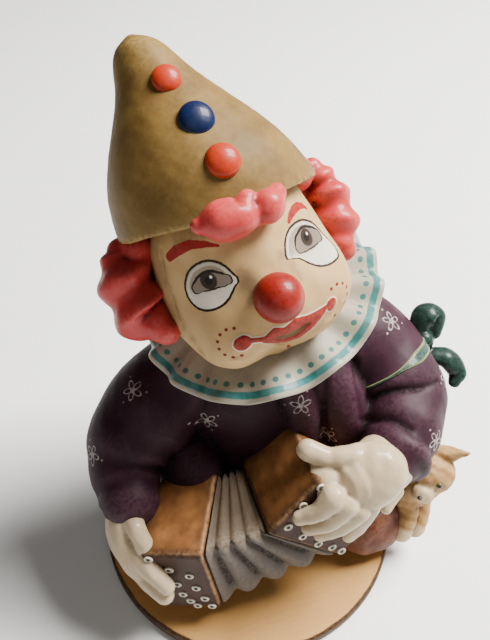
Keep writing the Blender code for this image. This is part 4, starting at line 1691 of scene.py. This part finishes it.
    def band(self) -> Thing:
        """The painted ribbon round the upper arm, laid on the sleeve and drawn to a point in front.

        Returns:
            The ribbon.
        """
        sleeve = mesh_object("sleeve_guide", [self.left_sleeve()])
        tree = BVHTree.FromObject(sleeve, bpy.context.evaluated_depsgraph_get())
        middle = vec(self.band_centre)
        side, front, rise = axes_of(vec(self.band_tip) - middle, self.band_way)
        rings = []
        hems = [0.0]
        for share, lift in ((-1.0, -1.2), (-1.0, 0.25), (-0.8, 0.5), (-0.5, 0.5), (0.0, 0.5), (0.5, 0.5),
                (0.8, 0.5), (1.0, 0.25), (1.0, -1.2)):
            ring = []
            for turn in full_turn(160):
                out = side * math.cos(turn) + front * math.sin(turn)
                half = self.band_half * (
                    0.15 + 0.85 * float(soft_step(np.array(1 - math.cos(turn)), 0.0, 0.5)))
                start = middle + rise * share * half
                hit, _, _, _ = tree.ray_cast(Vector(metres(start)), Vector(out))
                ring.append(millimetres(np.array(hit)) + out * lift)
            rings.append(ring)
            hems.extend([1.0 if abs(share) > 0.6 else 0.0] * len(ring))
        hems.append(0.0)
        bpy.data.objects.remove(sleeve)
        thing = mesh_object("arm_band", [skin(rings, middle - rise * 2, middle + rise * 2)])
        Surface(thing).store("hem", np.array(hems))
        return thing

    def bow(self) -> Thing:
        """The loops and knot of the ribbon.

        Returns:
            The bow.
        """
        forms = [
            limb([(71, 7, 77, 3.2), (75.5, 10, 81.5, 5.2), (79.5, 9.5, 81, 4.8), (78, 5.5, 76.5, 3)],
                flat=0.7),
            limb([(73, 0, 71, 3.2), (80, -3.5, 70, 4.6), (82.5, -8, 66, 3.8), (80.5, -10.5, 63.5, 2.4)],
                flat=0.7),
            ball((73, 4, 75), (4, 4, 4))]
        thing = cast("ribbon_bow", forms, voxel=0.45, smooth=3)
        surface = Surface(thing)
        surface.pushed(0.08 * ripple(surface.points, 6.0, 41))
        surface.store("hem", np.zeros(len(surface.points)))
        return thing

    def build(self, shop: Workshop) -> None:
        """Builds and dresses the tunic and its ribbon.

        Args:
            shop: The workshop.
        """
        tunic = self.sew()
        shop.place(tunic, self.paint)
        shop.place(self.band(), self.ribbon)
        shop.place(self.bow(), self.ribbon)


@dataclass
class EndBox:
    """One wooden end of the concertina, from its upper front corner at the bellows."""

    corner: Point
    outward: Point
    backward: Point
    length: float
    depth: float = 35.0
    height: float = 37.5
    corner_round: float = 8.0
    out: Array = field(init=False)
    back: Array = field(init=False)
    down: Array = field(init=False)

    def __post_init__(self) -> None:
        """Works out the box's own axes."""
        self.out = unit(self.outward)
        self.back = unit(vec(self.backward) - self.out * np.dot(self.backward, self.out))
        down = np.cross(self.out, self.back)
        self.down = down if down[2] < 0 else -down

    def at(self, out: float, back: float, down: float) -> Array:
        """A place from lengths outward, backward and downward of the corner."""
        return vec(self.corner) + self.out * out + self.back * back + self.down * down

    def shell(self, name: str, rounding: float = 2.2, cells: int = 40) -> Thing:
        """The box with rounded edges, and each point's place on it.

        Args:
            name: The object's name.
            rounding: The radius of its edges.
            cells: How many faces it has along each side.

        Returns:
            The object, with the attributes box_place, edge and border.
        """
        size = np.array([self.length, self.depth, self.height])
        work = bmesh.new()
        bmesh.ops.create_cube(work, size=2.0)
        bmesh.ops.subdivide_edges(work, edges=work.edges[:], cuts=cells - 1, use_grid_fill=True)
        raw = np.array([corner.co[:] for corner in work.verts])
        eased = np.sin(raw * math.pi / 2) * 0.35 + raw * 0.65
        wanted = (eased + 1) / 2 * size
        core = np.clip(wanted, rounding, size - rounding)
        away = wanted - core
        length = lengths(away)
        spread = np.abs(away) > 1e-6
        corners = spread.sum(axis=1) > 1
        local = wanted.copy()
        local[corners] = core[corners] + away[corners] / length[corners, None] * rounding
        margin = np.sort(np.minimum(local, size - local), axis=1)
        edge = 1 - soft_step(margin[:, 1], 0.35, 1.7)
        border = 1 - soft_step(margin[:, 1] + 0.8 * ripple(local, 7.0, 52), 1.0, 6.5)
        corner = size[:2] - self.corner_round
        beyond = np.maximum(local[:, :2] - corner, 0.0)
        reach = lengths(beyond)
        squared = np.maximum(beyond.max(axis=1), 1e-6)
        rounded = beyond * (squared / np.maximum(reach, 1e-6))[:, None]
        local[:, :2] += (rounded - beyond) * (beyond.min(axis=1) > 0)[:, None]
        local += 0.12 * ripple(local + 50 * self.length, 11.0, 51)[:, None]
        for corner, place in zip(work.verts, local):
            corner.co = metres(self.at(*place))
        bmesh.ops.recalc_face_normals(work, faces=work.faces)
        mesh = bpy.data.meshes.new(name)
        work.to_mesh(mesh)
        work.free()
        mesh.shade_smooth()
        thing = in_scene(name, mesh)
        surface = Surface(thing)
        surface.store("box_place", local)
        surface.store("edge", edge)
        surface.store("border", border)
        return thing


class NodeShape:
    """A Geometry Nodes tree with named inputs that ends in realized, dressed geometry."""

    def __init__(self, name: str, inputs: dict[str, tuple[str, Value]]) -> None:
        """Makes the empty tree with its sockets.

        Args:
            name: The tree's name.
            inputs: The kind and value of each input.
        """
        self.tree = bpy.data.node_groups.new(name, "GeometryNodeTree")
        self.tree.interface.new_socket("Geometry", in_out="INPUT", socket_type="NodeSocketGeometry")
        for label, (kind, value) in inputs.items():
            made = self.tree.interface.new_socket(label, in_out="INPUT", socket_type="NodeSocket" + kind)
            made.default_value = value
        self.tree.interface.new_socket("Geometry", in_out="OUTPUT", socket_type="NodeSocketGeometry")
        self.entry = self.tree.nodes.new("NodeGroupInput")
        self.leave = self.tree.nodes.new("NodeGroupOutput")
        self.graph = Graph(self.tree)

    def given(self, label: str) -> Socket:
        """One of the tree's named inputs."""
        return self.entry.outputs[label]

    def apply(self, thing: Thing, values: dict[str, Value]) -> Thing:
        """Runs the tree on an object and leaves a plain mesh.

        Args:
            thing: The object.
            values: The tree's inputs by name.

        Returns:
            The same object with its new mesh.
        """
        modifier = thing.modifiers.new(self.tree.name, "NODES")
        modifier.node_group = self.tree
        identifiers = {item.name: item.identifier for item in self.tree.interface.items_tree
            if item.item_type == "SOCKET" and item.in_out == "INPUT"}
        for label, value in values.items():
            modifier[identifiers[label]] = value
        return settled(thing)


@dataclass
class Concertina:
    """Two square wooden ends with key buttons, and the pleated bellows between them."""

    pleats: int = 4
    pleat_depth: float = 2.6
    top_share: float = 0.4
    inset: float = 1.0
    button_radius: float = 1.2
    button_ring: float = 0.46
    bead_share: float = 0.62
    round_cells: int = 20
    wood: StainedBoxPaint = StainedBoxPaint("box_brown", (0.28, 0.12, 0.038), (0.15, 0.056, 0.017),
        dirt=(0.03, 0.014, 0.007), light=(0.5, 0.3, 0.15), mottle_size=8.0, speckle=0.25, dirt_amount=0.6,
        wear=0.2)
    cloth: BellowsPaint = BellowsPaint("bellows_grey", (0.0688, 0.0473, 0.0286), (0.0468, 0.0303, 0.0187),
        dirt=(0.022, 0.0149, 0.0099), light=(0.165, 0.132, 0.099), mottle=0.5, mottle_size=5.0, wear=0.45)
    ring: Paint = Paint("button_white", (0.6, 0.55, 0.45), (0.45, 0.4, 0.31), gloss=Gloss.PORCELAIN,
        mottle=0.3, mottle_size=1.5, dirt_amount=0.3)
    bead: Paint = Paint("button_black", (0.012, 0.01, 0.009), (0.02, 0.014, 0.01), gloss=Gloss.PORCELAIN,
        mottle=0.3, mottle_size=1.5)
    right_keys: tuple[Pair, ...] = ((19.9, 3.2), (14.1, 10.1), (7.6, 13.9), (13.4, 19.9), (6.9, 22.4),
        (12.8, 27.2), (5.2, 30.0), (11.0, 32.0), (9.0, 35.4), (3.6, 35.6))
    left_keys: tuple[Pair, ...] = ((26.5, 2.6), (17.0, 2.6), (6.4, 4.8), (4.3, 13.9), (3.2, 23.0),
        (3.6, 30.0), (3.2, 35.6))

    def __post_init__(self) -> None:
        """Sets the two ends in place."""
        self.right_end = EndBox((-30.3, -37.5, 48.1), (-0.884, 0.436, -0.168), (0.45, 0.892, -0.046), 23.0)
        self.left_end = EndBox((-7.0, -37.7, 47.3), (0.672, 0.067, 0.738), (0.062, 0.988, -0.145), 29.0)

    def bellows_tree(self) -> NodeShape:
        """Square rings that zigzag in and out from one end to the other.

        Returns:
            The tree.
        """
        vectors = {f"{side} {label}": ("Vector", (0.0, 0.0, 0.0)) for side in ("Right", "Left")
            for label in ("Corner", "Back", "Down")}
        shape = NodeShape("bellows_pleats", {"Pleats": ("Int", 8), "Pleat Depth": ("Float", 0.0022),
            "Inset": ("Float", 0.001), "Depth": ("Float", 0.035), "Height": ("Float", 0.0375),
            "Top Share": ("Float", 0.4), "Round Cells": ("Int", 20), **vectors, "Cloth": ("Material", None)})
        graph, given = shape.graph, shape.given
        around = graph.plus(graph.times(given("Round Cells"), 4.0), 1.0)
        along = graph.plus(graph.times(given("Pleats"), 12.0), 1.0)
        grid = graph.node("GeometryNodeMeshGrid", {"Size X": 1.0, "Size Y": 1.0, "Vertices X": around,
            "Vertices Y": along})
        x, y, _ = graph.parts(graph.node("GeometryNodeInputPosition").outputs[0])
        turn = graph.times(graph.plus(x, 0.5), 4.0)
        share = graph.plus(y, 0.5)
        swing = graph.times(graph.times(share, given("Pleats")), math.pi)
        fold = graph.minus(1.0, graph.math("ABSOLUTE", graph.math("COSINE", swing)))
        near = graph.math("MULTIPLY_ADD", fold, given("Pleat Depth"), given("Inset"))
        shallow = graph.times(fold, given("Top Share"))
        roof = graph.math("MULTIPLY_ADD", shallow, given("Pleat Depth"), given("Inset"))
        span = graph.minus(given("Depth"), graph.times(near, 2.0))

        def trapezoid(value: Socket) -> Socket:
            """Up, flat, down and flat over four steps."""
            return graph.math("MINIMUM", value, graph.minus(3.0, value), clamp=True)

        back = graph.math("MULTIPLY_ADD", trapezoid(turn), span, near)
        later = graph.math("FLOORED_MODULO", graph.plus(turn, 3.0), 4.0)
        tall = graph.minus(given("Height"), graph.plus(near, roof))
        down = graph.math("MULTIPLY_ADD", trapezoid(later), tall, roof)
        ends = []
        for side in ("Right", "Left"):
            place = graph.vector("ADD", given(side + " Corner"), graph.scaled(given(side + " Back"), back))
            ends.append(graph.vector("ADD", place, graph.scaled(given(side + " Down"), down)))
        across = graph.vector("SUBTRACT", ends[1], ends[0])
        place = graph.vector("ADD", ends[0], graph.scaled(across, share))
        moved = graph.node("GeometryNodeSetPosition", {"Geometry": grid.outputs[0], "Position": place})
        closed = graph.node("GeometryNodeMergeByDistance", {"Geometry": moved.outputs[0],
            "Distance": 0.00001})
        real = graph.node("GeometryNodeRealizeInstances", {"Geometry": closed.outputs[0]})
        dressed = graph.node("GeometryNodeSetMaterial", {"Geometry": real.outputs[0],
            "Material": given("Cloth")})
        graph.put(shape.leave.inputs[0], dressed.outputs[0])
        return shape

    def bellows(self, shop: Workshop) -> Thing:
        """The bellows, with its ends closed inside the boxes.

        Args:
            shop: The workshop.

        Returns:
            The bellows.
        """
        thing = mesh_object("bellows", [ball((0, 0, 0), (1, 1, 1), sides=8)])
        values: dict[str, Value] = {"Pleats": self.pleats, "Pleat Depth": self.pleat_depth * MM,
            "Inset": self.inset * MM, "Depth": self.right_end.depth * MM,
            "Height": self.right_end.height * MM, "Top Share": self.top_share,
            "Round Cells": self.round_cells, "Cloth": shop.material(self.cloth)}
        for label, box in (("Right", self.right_end), ("Left", self.left_end)):
            values[label + " Corner"] = tuple(metres(box.at(-0.4, 0, 0)))
            values[label + " Back"] = tuple(box.back)
            values[label + " Down"] = tuple(box.down)
        self.bellows_tree().apply(thing, values)
        mend(thing.data)
        surface = Surface(thing)
        surface.points = surface.averaged(surface.points, 1)
        surface.write()
        surface.store("fore", soft_step(-surface.normals() @ self.right_end.back, 0.25, 0.6))
        surface.mark_relief(rounds=14, depth=0.5)
        return thing

    def button_tree(self) -> NodeShape:
        """A white ring with a black bead in it at every point, facing along the point's own direction.

        Returns:
            The tree.
        """
        shape = NodeShape("key_buttons", {"Radius": ("Float", 0.001), "Ring": ("Float", 0.0004),
            "Bead": ("Float", 0.0005), "Ring Paint": ("Material", None), "Bead Paint": ("Material", None)})
        graph, given = shape.graph, shape.given
        circle = graph.node("GeometryNodeCurvePrimitiveCircle", {"Resolution": 28,
            "Radius": given("Radius")})
        profile = graph.node("GeometryNodeCurvePrimitiveCircle", {"Resolution": 12, "Radius": given("Ring")})
        ring = graph.node("GeometryNodeCurveToMesh", {"Curve": circle.outputs[0],
            "Profile Curve": profile.outputs[0]})
        ring = graph.node("GeometryNodeSetMaterial", {"Geometry": ring.outputs[0],
            "Material": given("Ring Paint")})
        bead = graph.node("GeometryNodeMeshUVSphere", {"Segments": 20, "Rings": 10, "Radius": given("Bead")})
        bead = graph.node("GeometryNodeSetMaterial", {"Geometry": bead.outputs[0],
            "Material": given("Bead Paint")})
        both = graph.node("GeometryNodeJoinGeometry")
        for part in (ring, bead):
            shape.tree.links.new(part.outputs[0], both.inputs[0])
        facing = graph.node("GeometryNodeInputNamedAttribute", {"Name": "facing"}, data_type="FLOAT_VECTOR")
        turned = graph.node("FunctionNodeAlignRotationToVector", {"Vector": facing.outputs[0]}, axis="Z")
        copies = graph.node("GeometryNodeInstanceOnPoints", {"Points": given("Geometry"),
            "Instance": both.outputs[0], "Rotation": turned.outputs[0]})
        real = graph.node("GeometryNodeRealizeInstances", {"Geometry": copies.outputs[0]})
        smooth = graph.node("GeometryNodeSetShadeSmooth", {"Geometry": real.outputs[0]})
        graph.put(shape.leave.inputs[0], smooth.outputs[0])
        return shape

    def buttons(self, shop: Workshop) -> Thing:
        """All the key buttons, on the front faces of both ends.

        Args:
            shop: The workshop.

        Returns:
            The buttons.
        """
        places, facings = [], []
        for box, keys in ((self.right_end, self.right_keys), (self.left_end, self.left_keys)):
            for out, down in keys:
                places.append(metres(box.at(out, -0.1, down)))
                facings.append(-box.back)
        mesh = bpy.data.meshes.new("key_buttons")
        mesh.from_pydata([tuple(place) for place in places], [], [])
        attribute = mesh.attributes.new("facing", "FLOAT_VECTOR", "POINT")
        attribute.data.foreach_set("vector", np.array(facings, dtype=np.float32).ravel())
        thing = in_scene("key_buttons", mesh)
        self.button_tree().apply(thing, {"Radius": self.button_radius * MM, "Ring": self.button_ring * MM,
            "Bead": self.button_radius * self.bead_share * MM, "Ring Paint": shop.material(self.ring),
            "Bead Paint": shop.material(self.bead)})
        return thing

    def build(self, shop: Workshop) -> None:
        """Builds and dresses the ends, the bellows and the buttons.

        Args:
            shop: The workshop.
        """
        shop.place(self.right_end.shell("concertina_right_end"), self.wood)
        shop.place(self.left_end.shell("concertina_left_end"), self.wood)
        shop.place(self.bellows(shop), self.cloth)
        shop.place(self.buttons(shop), self.ring)


@dataclass
class Gloves:
    """Both gloved hands on the ends of the concertina."""

    box: Concertina
    paint: Paint = Paint("glove_white", (0.4687, 0.3567, 0.2246), (0.378, 0.2786, 0.1685),
        dirt=(0.1512, 0.1019, 0.0562), light=(0.6048, 0.5163, 0.3819), gloss=Gloss.PORCELAIN, mottle=0.35,
        mottle_size=8.0, speckle=0.04, dirt_amount=0.55, wear=0.2)

    @staticmethod
    def finger(box: EndBox, route: Sequence[tuple[float, float, float, float]]) -> Form:
        """A finger on the front of a box, from rows of outward, downward, lift and radius."""
        return limb([(*box.at(out, -lift, down), radius) for out, down, lift, radius in route], sides=28,
            steps=30)

    def left_hand(self) -> list[Form]:
        """The hand at the viewer's right.

        Returns:
            The shapes.
        """
        end = self.box.left_end
        return [ball((29, -36, 62), (16, 9, 12), right=(0.85, -0.2, 0.35), up=(-0.2, 0.7, 0.6)),
            limb([(44, -30, 60, 11), (36, -34, 62, 11), (28, -36, 63, 10)], flat=0.85,
                flat_way=(0, -0.6, 0.8)),
            ball(end.at(27, 6, 14), (11, 9, 14), right=end.back, up=end.down),
            self.finger(end, [(27, 6, 4, 4.6), (20, 5, 4.4, 3.4), (13.5, 3, 2.4, 2.7)]),
            self.finger(end, [(27, 12, 5, 4.6), (18, 12, 5, 3.4), (10.5, 10, 2.4, 2.7)]),
            self.finger(end, [(27, 18, 5, 4.6), (18, 18, 5, 3.4), (9.5, 17, 2.4, 2.7)]),
            self.finger(end, [(29, 22, 4, 4.4), (20, 26, 4, 3.2), (12.5, 29, 2.2, 2.5)]),
            limb([(33, -33, 67, 6.5), (25, -31, 69, 4.6), (18.5, -28.5, 69, 3.7), (12.5, -24.5, 71, 4.0)],
                sides=28),
            limb([(41.5, -40.5, 53, 2.2), (35.5, -43.5, 50.5, 2.4)], sides=24, steps=16)]

    def right_hand(self) -> list[Form]:
        """The hand at the viewer's left.

        Returns:
            The shapes.
        """
        end = self.box.right_end
        return [limb([(-49, -8, 46, 8.6), (-52, -15, 40, 8.4), (-51, -23, 34, 7), (-48.5, -28, 30, 5.5)],
                flat=0.85, flat_way=end.out),
            limb([(-50.5, -20, 39, 6), (-47.5, -30, 36, 3.8), (-43.5, -36.5, 32, 2.9)], sides=28),
            limb([(-50.5, -23, 33, 6), (-48, -31, 29, 4.4), (-44.8, -36.5, 26, 3.3)], sides=28),
            limb([(-50, -13, 46, 5.5), (-48.8, -19.5, 47.5, 3.6), (-47.5, -25, 43.5, 3.2)], sides=28)]

    def build(self, shop: Workshop) -> None:
        """Builds and dresses both hands.

        Args:
            shop: The workshop.
        """
        for name, forms in (("left_glove", self.left_hand()), ("right_glove", self.right_hand())):
            thing = cast(name, forms, voxel=0.5, smooth=5)
            surface = Surface(thing)
            surface.pushed(0.1 * ripple(surface.points, 6.0, 61))
            shop.place(thing, self.paint)


@dataclass
class Legs:
    """Trousers and the toes of the shoes."""

    cloth: Paint = Paint("trousers_rose", (0.132, 0.0394, 0.021), (0.0792, 0.0232, 0.0135),
        dirt=(0.0198, 0.0081, 0.005), light=(0.264, 0.1392, 0.085), wear=0.4)
    leather: Paint = Paint("shoe_brown", (0.06, 0.028, 0.014), (0.03, 0.014, 0.008), light=(0.2, 0.11, 0.06),
        gloss=Gloss.GLAZE, mottle=0.5, mottle_size=6.0, wear=0.5)

    def build(self, shop: Workshop) -> None:
        """Builds and dresses the trousers and the shoes, cut flat where they meet the plinth.

        Args:
            shop: The workshop.
        """
        folds = Folds(3, 0.03, 0.2, 0.4)
        forms = [ball((9, 22, 10), (38, 28, 17)),
            limb([(24, 14, 12, 15), (35, -7, 13, 16), (41, -25, 12.5, 16)], folds=folds),
            limb([(-8, 14, 12, 15), (-22, -4, 12, 15), (-26, -20, 11, 14)], folds=folds),
            limb([(34, 10, 7, 10), (30, 34, 6, 9), (22, 44, 5, 8)]),
            limb([(-18, 10, 7, 10), (-14, 34, 6, 9), (-8, 44, 5, 8)])]
        trousers = cast("trousers", forms, voxel=0.9, smooth=5)
        surface = Surface(trousers)
        surface.pushed(0.3 * ripple(surface.points, 11.0, 71) + 0.1 * ripple(surface.points, 5.0, 72))
        shoes = cast("shoes", [ball((24, 49, 5), (9, 7, 8)), ball((-8, 49, 5), (9, 7, 8))], voxel=0.7)
        for thing, finish in ((trousers, self.cloth), (shoes, self.leather)):
            level = Surface(thing)
            level.points[:, 2] = np.maximum(level.points[:, 2], 0.0)
            level.write()
            shop.place(thing, finish)


@dataclass
class Kitten:
    """The tabby kitten that sits against the left knee and looks out under the sleeve."""

    head: Point = (64.5, -29.5, 37.5)
    eyes: tuple[Point, ...] = ((-8.3, -2.4, 3.4), (-1.6, -7.8, 2.9))
    nose: Point = (-10.3, -9.2, 1.0)
    fur: FurPaint = FurPaint("kitten_fur", (0.4, 0.235, 0.09), (0.27, 0.145, 0.05),
        dirt=(0.07, 0.035, 0.015), light=(0.56, 0.42, 0.24), mottle=0.5, mottle_size=5.0, wear=0.35)
    green: Paint = Paint("kitten_eye", (0.04, 0.06, 0.015), (0.025, 0.04, 0.01), gloss=Gloss.PORCELAIN,
        mottle=0.4, mottle_size=1.5, dirt_amount=0.3)
    black: Paint = Paint("kitten_black", (0.012, 0.009, 0.008), (0.02, 0.014, 0.012), gloss=Gloss.PORCELAIN,
        mottle=0.3, mottle_size=1.0)

    def body(self) -> Thing:
        """Body, head, front legs and ears in one skin, with a pale muzzle and paws.

        Returns:
            The kitten.
        """
        head = vec(self.head)
        forms = [ball((58, -14, 20), (11, 17, 15)),
            limb([(57, -16, 26, 10), (58, -25, 25, 9.5), (62, -29, 31, 8)]),
            ball(head, (9.5, 9, 8.2)), ball(head + (-6.4, -6.0, -1.6), (4.8, 4.8, 4.0)),
            limb([(57, -28, 24, 5.5), (55, -34, 17, 4.4), (52, -37, 12, 4.4)]),
            limb([(64, -27, 22, 5), (62, -33, 14, 4.2), (59, -36, 9, 4.2)])]
        for base, tip in (((69, -27, 43), (77, -33, 48.5)), ((60, -25, 43), (62, -24, 51))):
            forms.append(limb([(*base, 4.2), (*((vec(base) + vec(tip)) / 2), 2.6), (*tip, 0.6)], steps=20))
        thing = cast("kitten", forms, voxel=0.5, smooth=3)
        surface = Surface(thing)
        surface.pushed(0.12 * ripple(surface.points, 3.0, 81))
        muzzle = np.linalg.norm(surface.points - (head + (-8.5, -9.0, -1.8)), axis=1)
        paws = np.minimum(lengths(surface.points - (51, -38, 11)), lengths(surface.points - (58, -37, 8)))
        surface.store("pale", np.maximum(0.8 * (1 - soft_step(muzzle, 3.0, 9.0)),
            1 - soft_step(paws, 4.0, 6.5)))
        return thing

    def build(self, shop: Workshop) -> None:
        """Builds and dresses the kitten, its eyes and its nose.

        Args:
            shop: The workshop.
        """
        shop.place(self.body(), self.fur)
        head = vec(self.head)
        eyes = [ball(head + place, (1.35, 1.35, 1.35)) for place in self.eyes]
        shop.place(mesh_object("kitten_eyes", eyes), self.green)
        dark = [ball(head + vec(place) * 1.1, (0.75, 0.75, 0.9)) for place in self.eyes]
        dark.append(ball(head + self.nose, (0.9, 0.9, 0.6)))
        shop.place(mesh_object("kitten_nose", dark), self.black)


@dataclass
class Plinth:
    """The turned wooden disc."""

    radius: float = 60.0
    thickness: float = 5.0
    top_round: float = 1.5
    foot_round: float = 1.0
    sides: int = 256
    finish: WoodFinish = WoodFinish("plinth_wood", (0.56, 0.3015, 0.0972), (0.4, 0.198, 0.0576),
        dirt=(0.05, 0.0225, 0.0086), light=(0.6, 0.378, 0.1656), mottle=0.35, mottle_size=22.0, speckle=0.06,
        dirt_amount=0.4, wear=0.1)

    def profile(self) -> list[Pair]:
        """The outline from the middle of the underside to the middle of the top.

        Returns:
            Rows of reach and height.
        """
        rows = [(reach, 0.0) for reach in np.linspace(4.0, self.radius - self.foot_round, 14)]
        for centre_z, size, first in ((self.foot_round, self.foot_round, -90.0),
                (self.thickness - self.top_round, self.top_round, 0.0)):
            for angle in np.radians(np.linspace(first, first + 90.0, 9)):
                rows.append((self.radius - size + size * math.cos(angle), centre_z + size * math.sin(angle)))
        rows += [(reach, self.thickness) for reach in np.linspace(self.radius - self.top_round, 2.0, 24)]
        return rows

    def build(self, shop: Workshop) -> None:
        """Turns the profile and dresses the disc.

        Args:
            shop: The workshop.
        """
        turns = full_turn(self.sides)
        rings = [[(reach * math.cos(turn), reach * math.sin(turn), height - PLINTH_TOP) for turn in turns]
            for reach, height in self.profile()]
        top = self.thickness - PLINTH_TOP
        thing = mesh_object("plinth_disc", [skin([list(vec(ring)) for ring in rings],
            vec((0, 0, -PLINTH_TOP)), vec((0, 0, top)))])
        shop.place(thing, self.finish, node="plinth", slot=WOOD)


@dataclass
class Studio:
    """A pale floor, soft light from the right, and the camera."""

    camera_place: Point = (-0.0559, -0.1499, 0.2821)
    camera_right: Point = (0.940, -0.342, 0.0)
    camera_ahead: Point = (0.241, 0.661, -0.711)
    lens: float = 40.5
    floor_half: float = 3.0
    window_power: float = 58.0
    fill_power: float = 2.0
    sky_strength: float = 0.1

    def floor(self) -> None:
        """A wide pale sheet."""
        mesh = bpy.data.meshes.new("floor")
        half = self.floor_half
        mesh.from_pydata([(-half, -half, 0), (half, -half, 0), (half, half, 0), (-half, half, 0)], [],
            [(0, 1, 2, 3)])
        thing = in_scene("floor", mesh)
        material = bpy.data.materials.new("floor_paper")
        material.use_nodes = True
        graph = Graph(material.node_tree)
        shader = material.node_tree.nodes["Principled BSDF"]
        cloud = graph.noise(graph.place(), 60.0, 2.0)
        graph.put(shader.inputs["Base Color"], graph.blend(cloud, (0.9, 0.9, 0.885), (0.87, 0.875, 0.865)))
        graph.put(shader.inputs["Roughness"], 0.6)
        mesh.materials.append(material)
        thing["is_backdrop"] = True

    def lamp(self, name: str, place: Point, target: Point, size: float, power: float,
            colour: Colour) -> None:
        """An area lamp that looks at a target.

        Args:
            name: The lamp's name.
            place: Where it hangs.
            target: Where it looks.
            size: Its side in metres.
            power: Its power in watts.
            colour: Its colour.
        """
        data = bpy.data.lights.new(name, "AREA")
        data.shape = "RECTANGLE"
        data.size = size
        data.size_y = size
        data.energy = power
        data.color = colour
        thing = in_scene(name, data)
        thing.location = place
        thing.rotation_euler = (Vector(target) - Vector(place)).to_track_quat("-Z", "Y").to_euler()

    def build(self) -> None:
        """Sets up floor, lamps, sky and camera."""
        self.floor()
        middle = (0.0, 0.0, 0.09)
        self.lamp("window", (0.66, 0.04, 0.95), middle, 0.5, self.window_power, (1.0, 0.98, 0.94))
        self.lamp("front_fill", (-0.5, -0.8, 0.7), middle, 0.9, self.fill_power, (1.0, 0.96, 0.9))
        world = bpy.data.worlds.new("studio_sky")
        world.use_nodes = True
        world.node_tree.nodes["Background"].inputs[0].default_value = (0.9, 0.92, 0.95, 1.0)
        world.node_tree.nodes["Background"].inputs[1].default_value = self.sky_strength
        bpy.context.scene.world = world
        data = bpy.data.cameras.new("camera")
        data.lens = self.lens
        data.sensor_width = 36.0
        data.sensor_fit = "AUTO"
        camera = in_scene("camera", data)
        right, ahead = Vector(self.camera_right).normalized(), Vector(self.camera_ahead).normalized()
        up = right.cross(ahead).normalized()
        turned = Matrix((right, up, -ahead)).transposed().to_4x4()
        camera.matrix_world = Matrix.Translation(Vector(self.camera_place)) @ turned
        bpy.context.scene.camera = camera


def write_sizes(after: Sequence) -> None:
    """Takes the dressed model's box and does nothing with it.

    Args:
        after: The dressed model's box; not used.
    """
    import json


def main() -> None:
    """Loads the frame and builds every sub-assembly in order."""
    logging.basicConfig(level=logging.INFO, format="%(name)s: %(message)s")
    for thing in list(bpy.data.objects):
        bpy.data.objects.remove(thing)
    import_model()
    Studio().build()
    shop = Workshop()
    concertina = Concertina()
    for assembly in (Hat(), Face(), Hair(), Collar(), Tunic(), concertina, Gloves(concertina), Legs(),
            Kitten(), Plinth()):
        assembly.build(shop)
        LOG.info("%s is built", type(assembly).__name__)
    write_sizes(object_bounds())


if __name__ == "__main__":
    main()
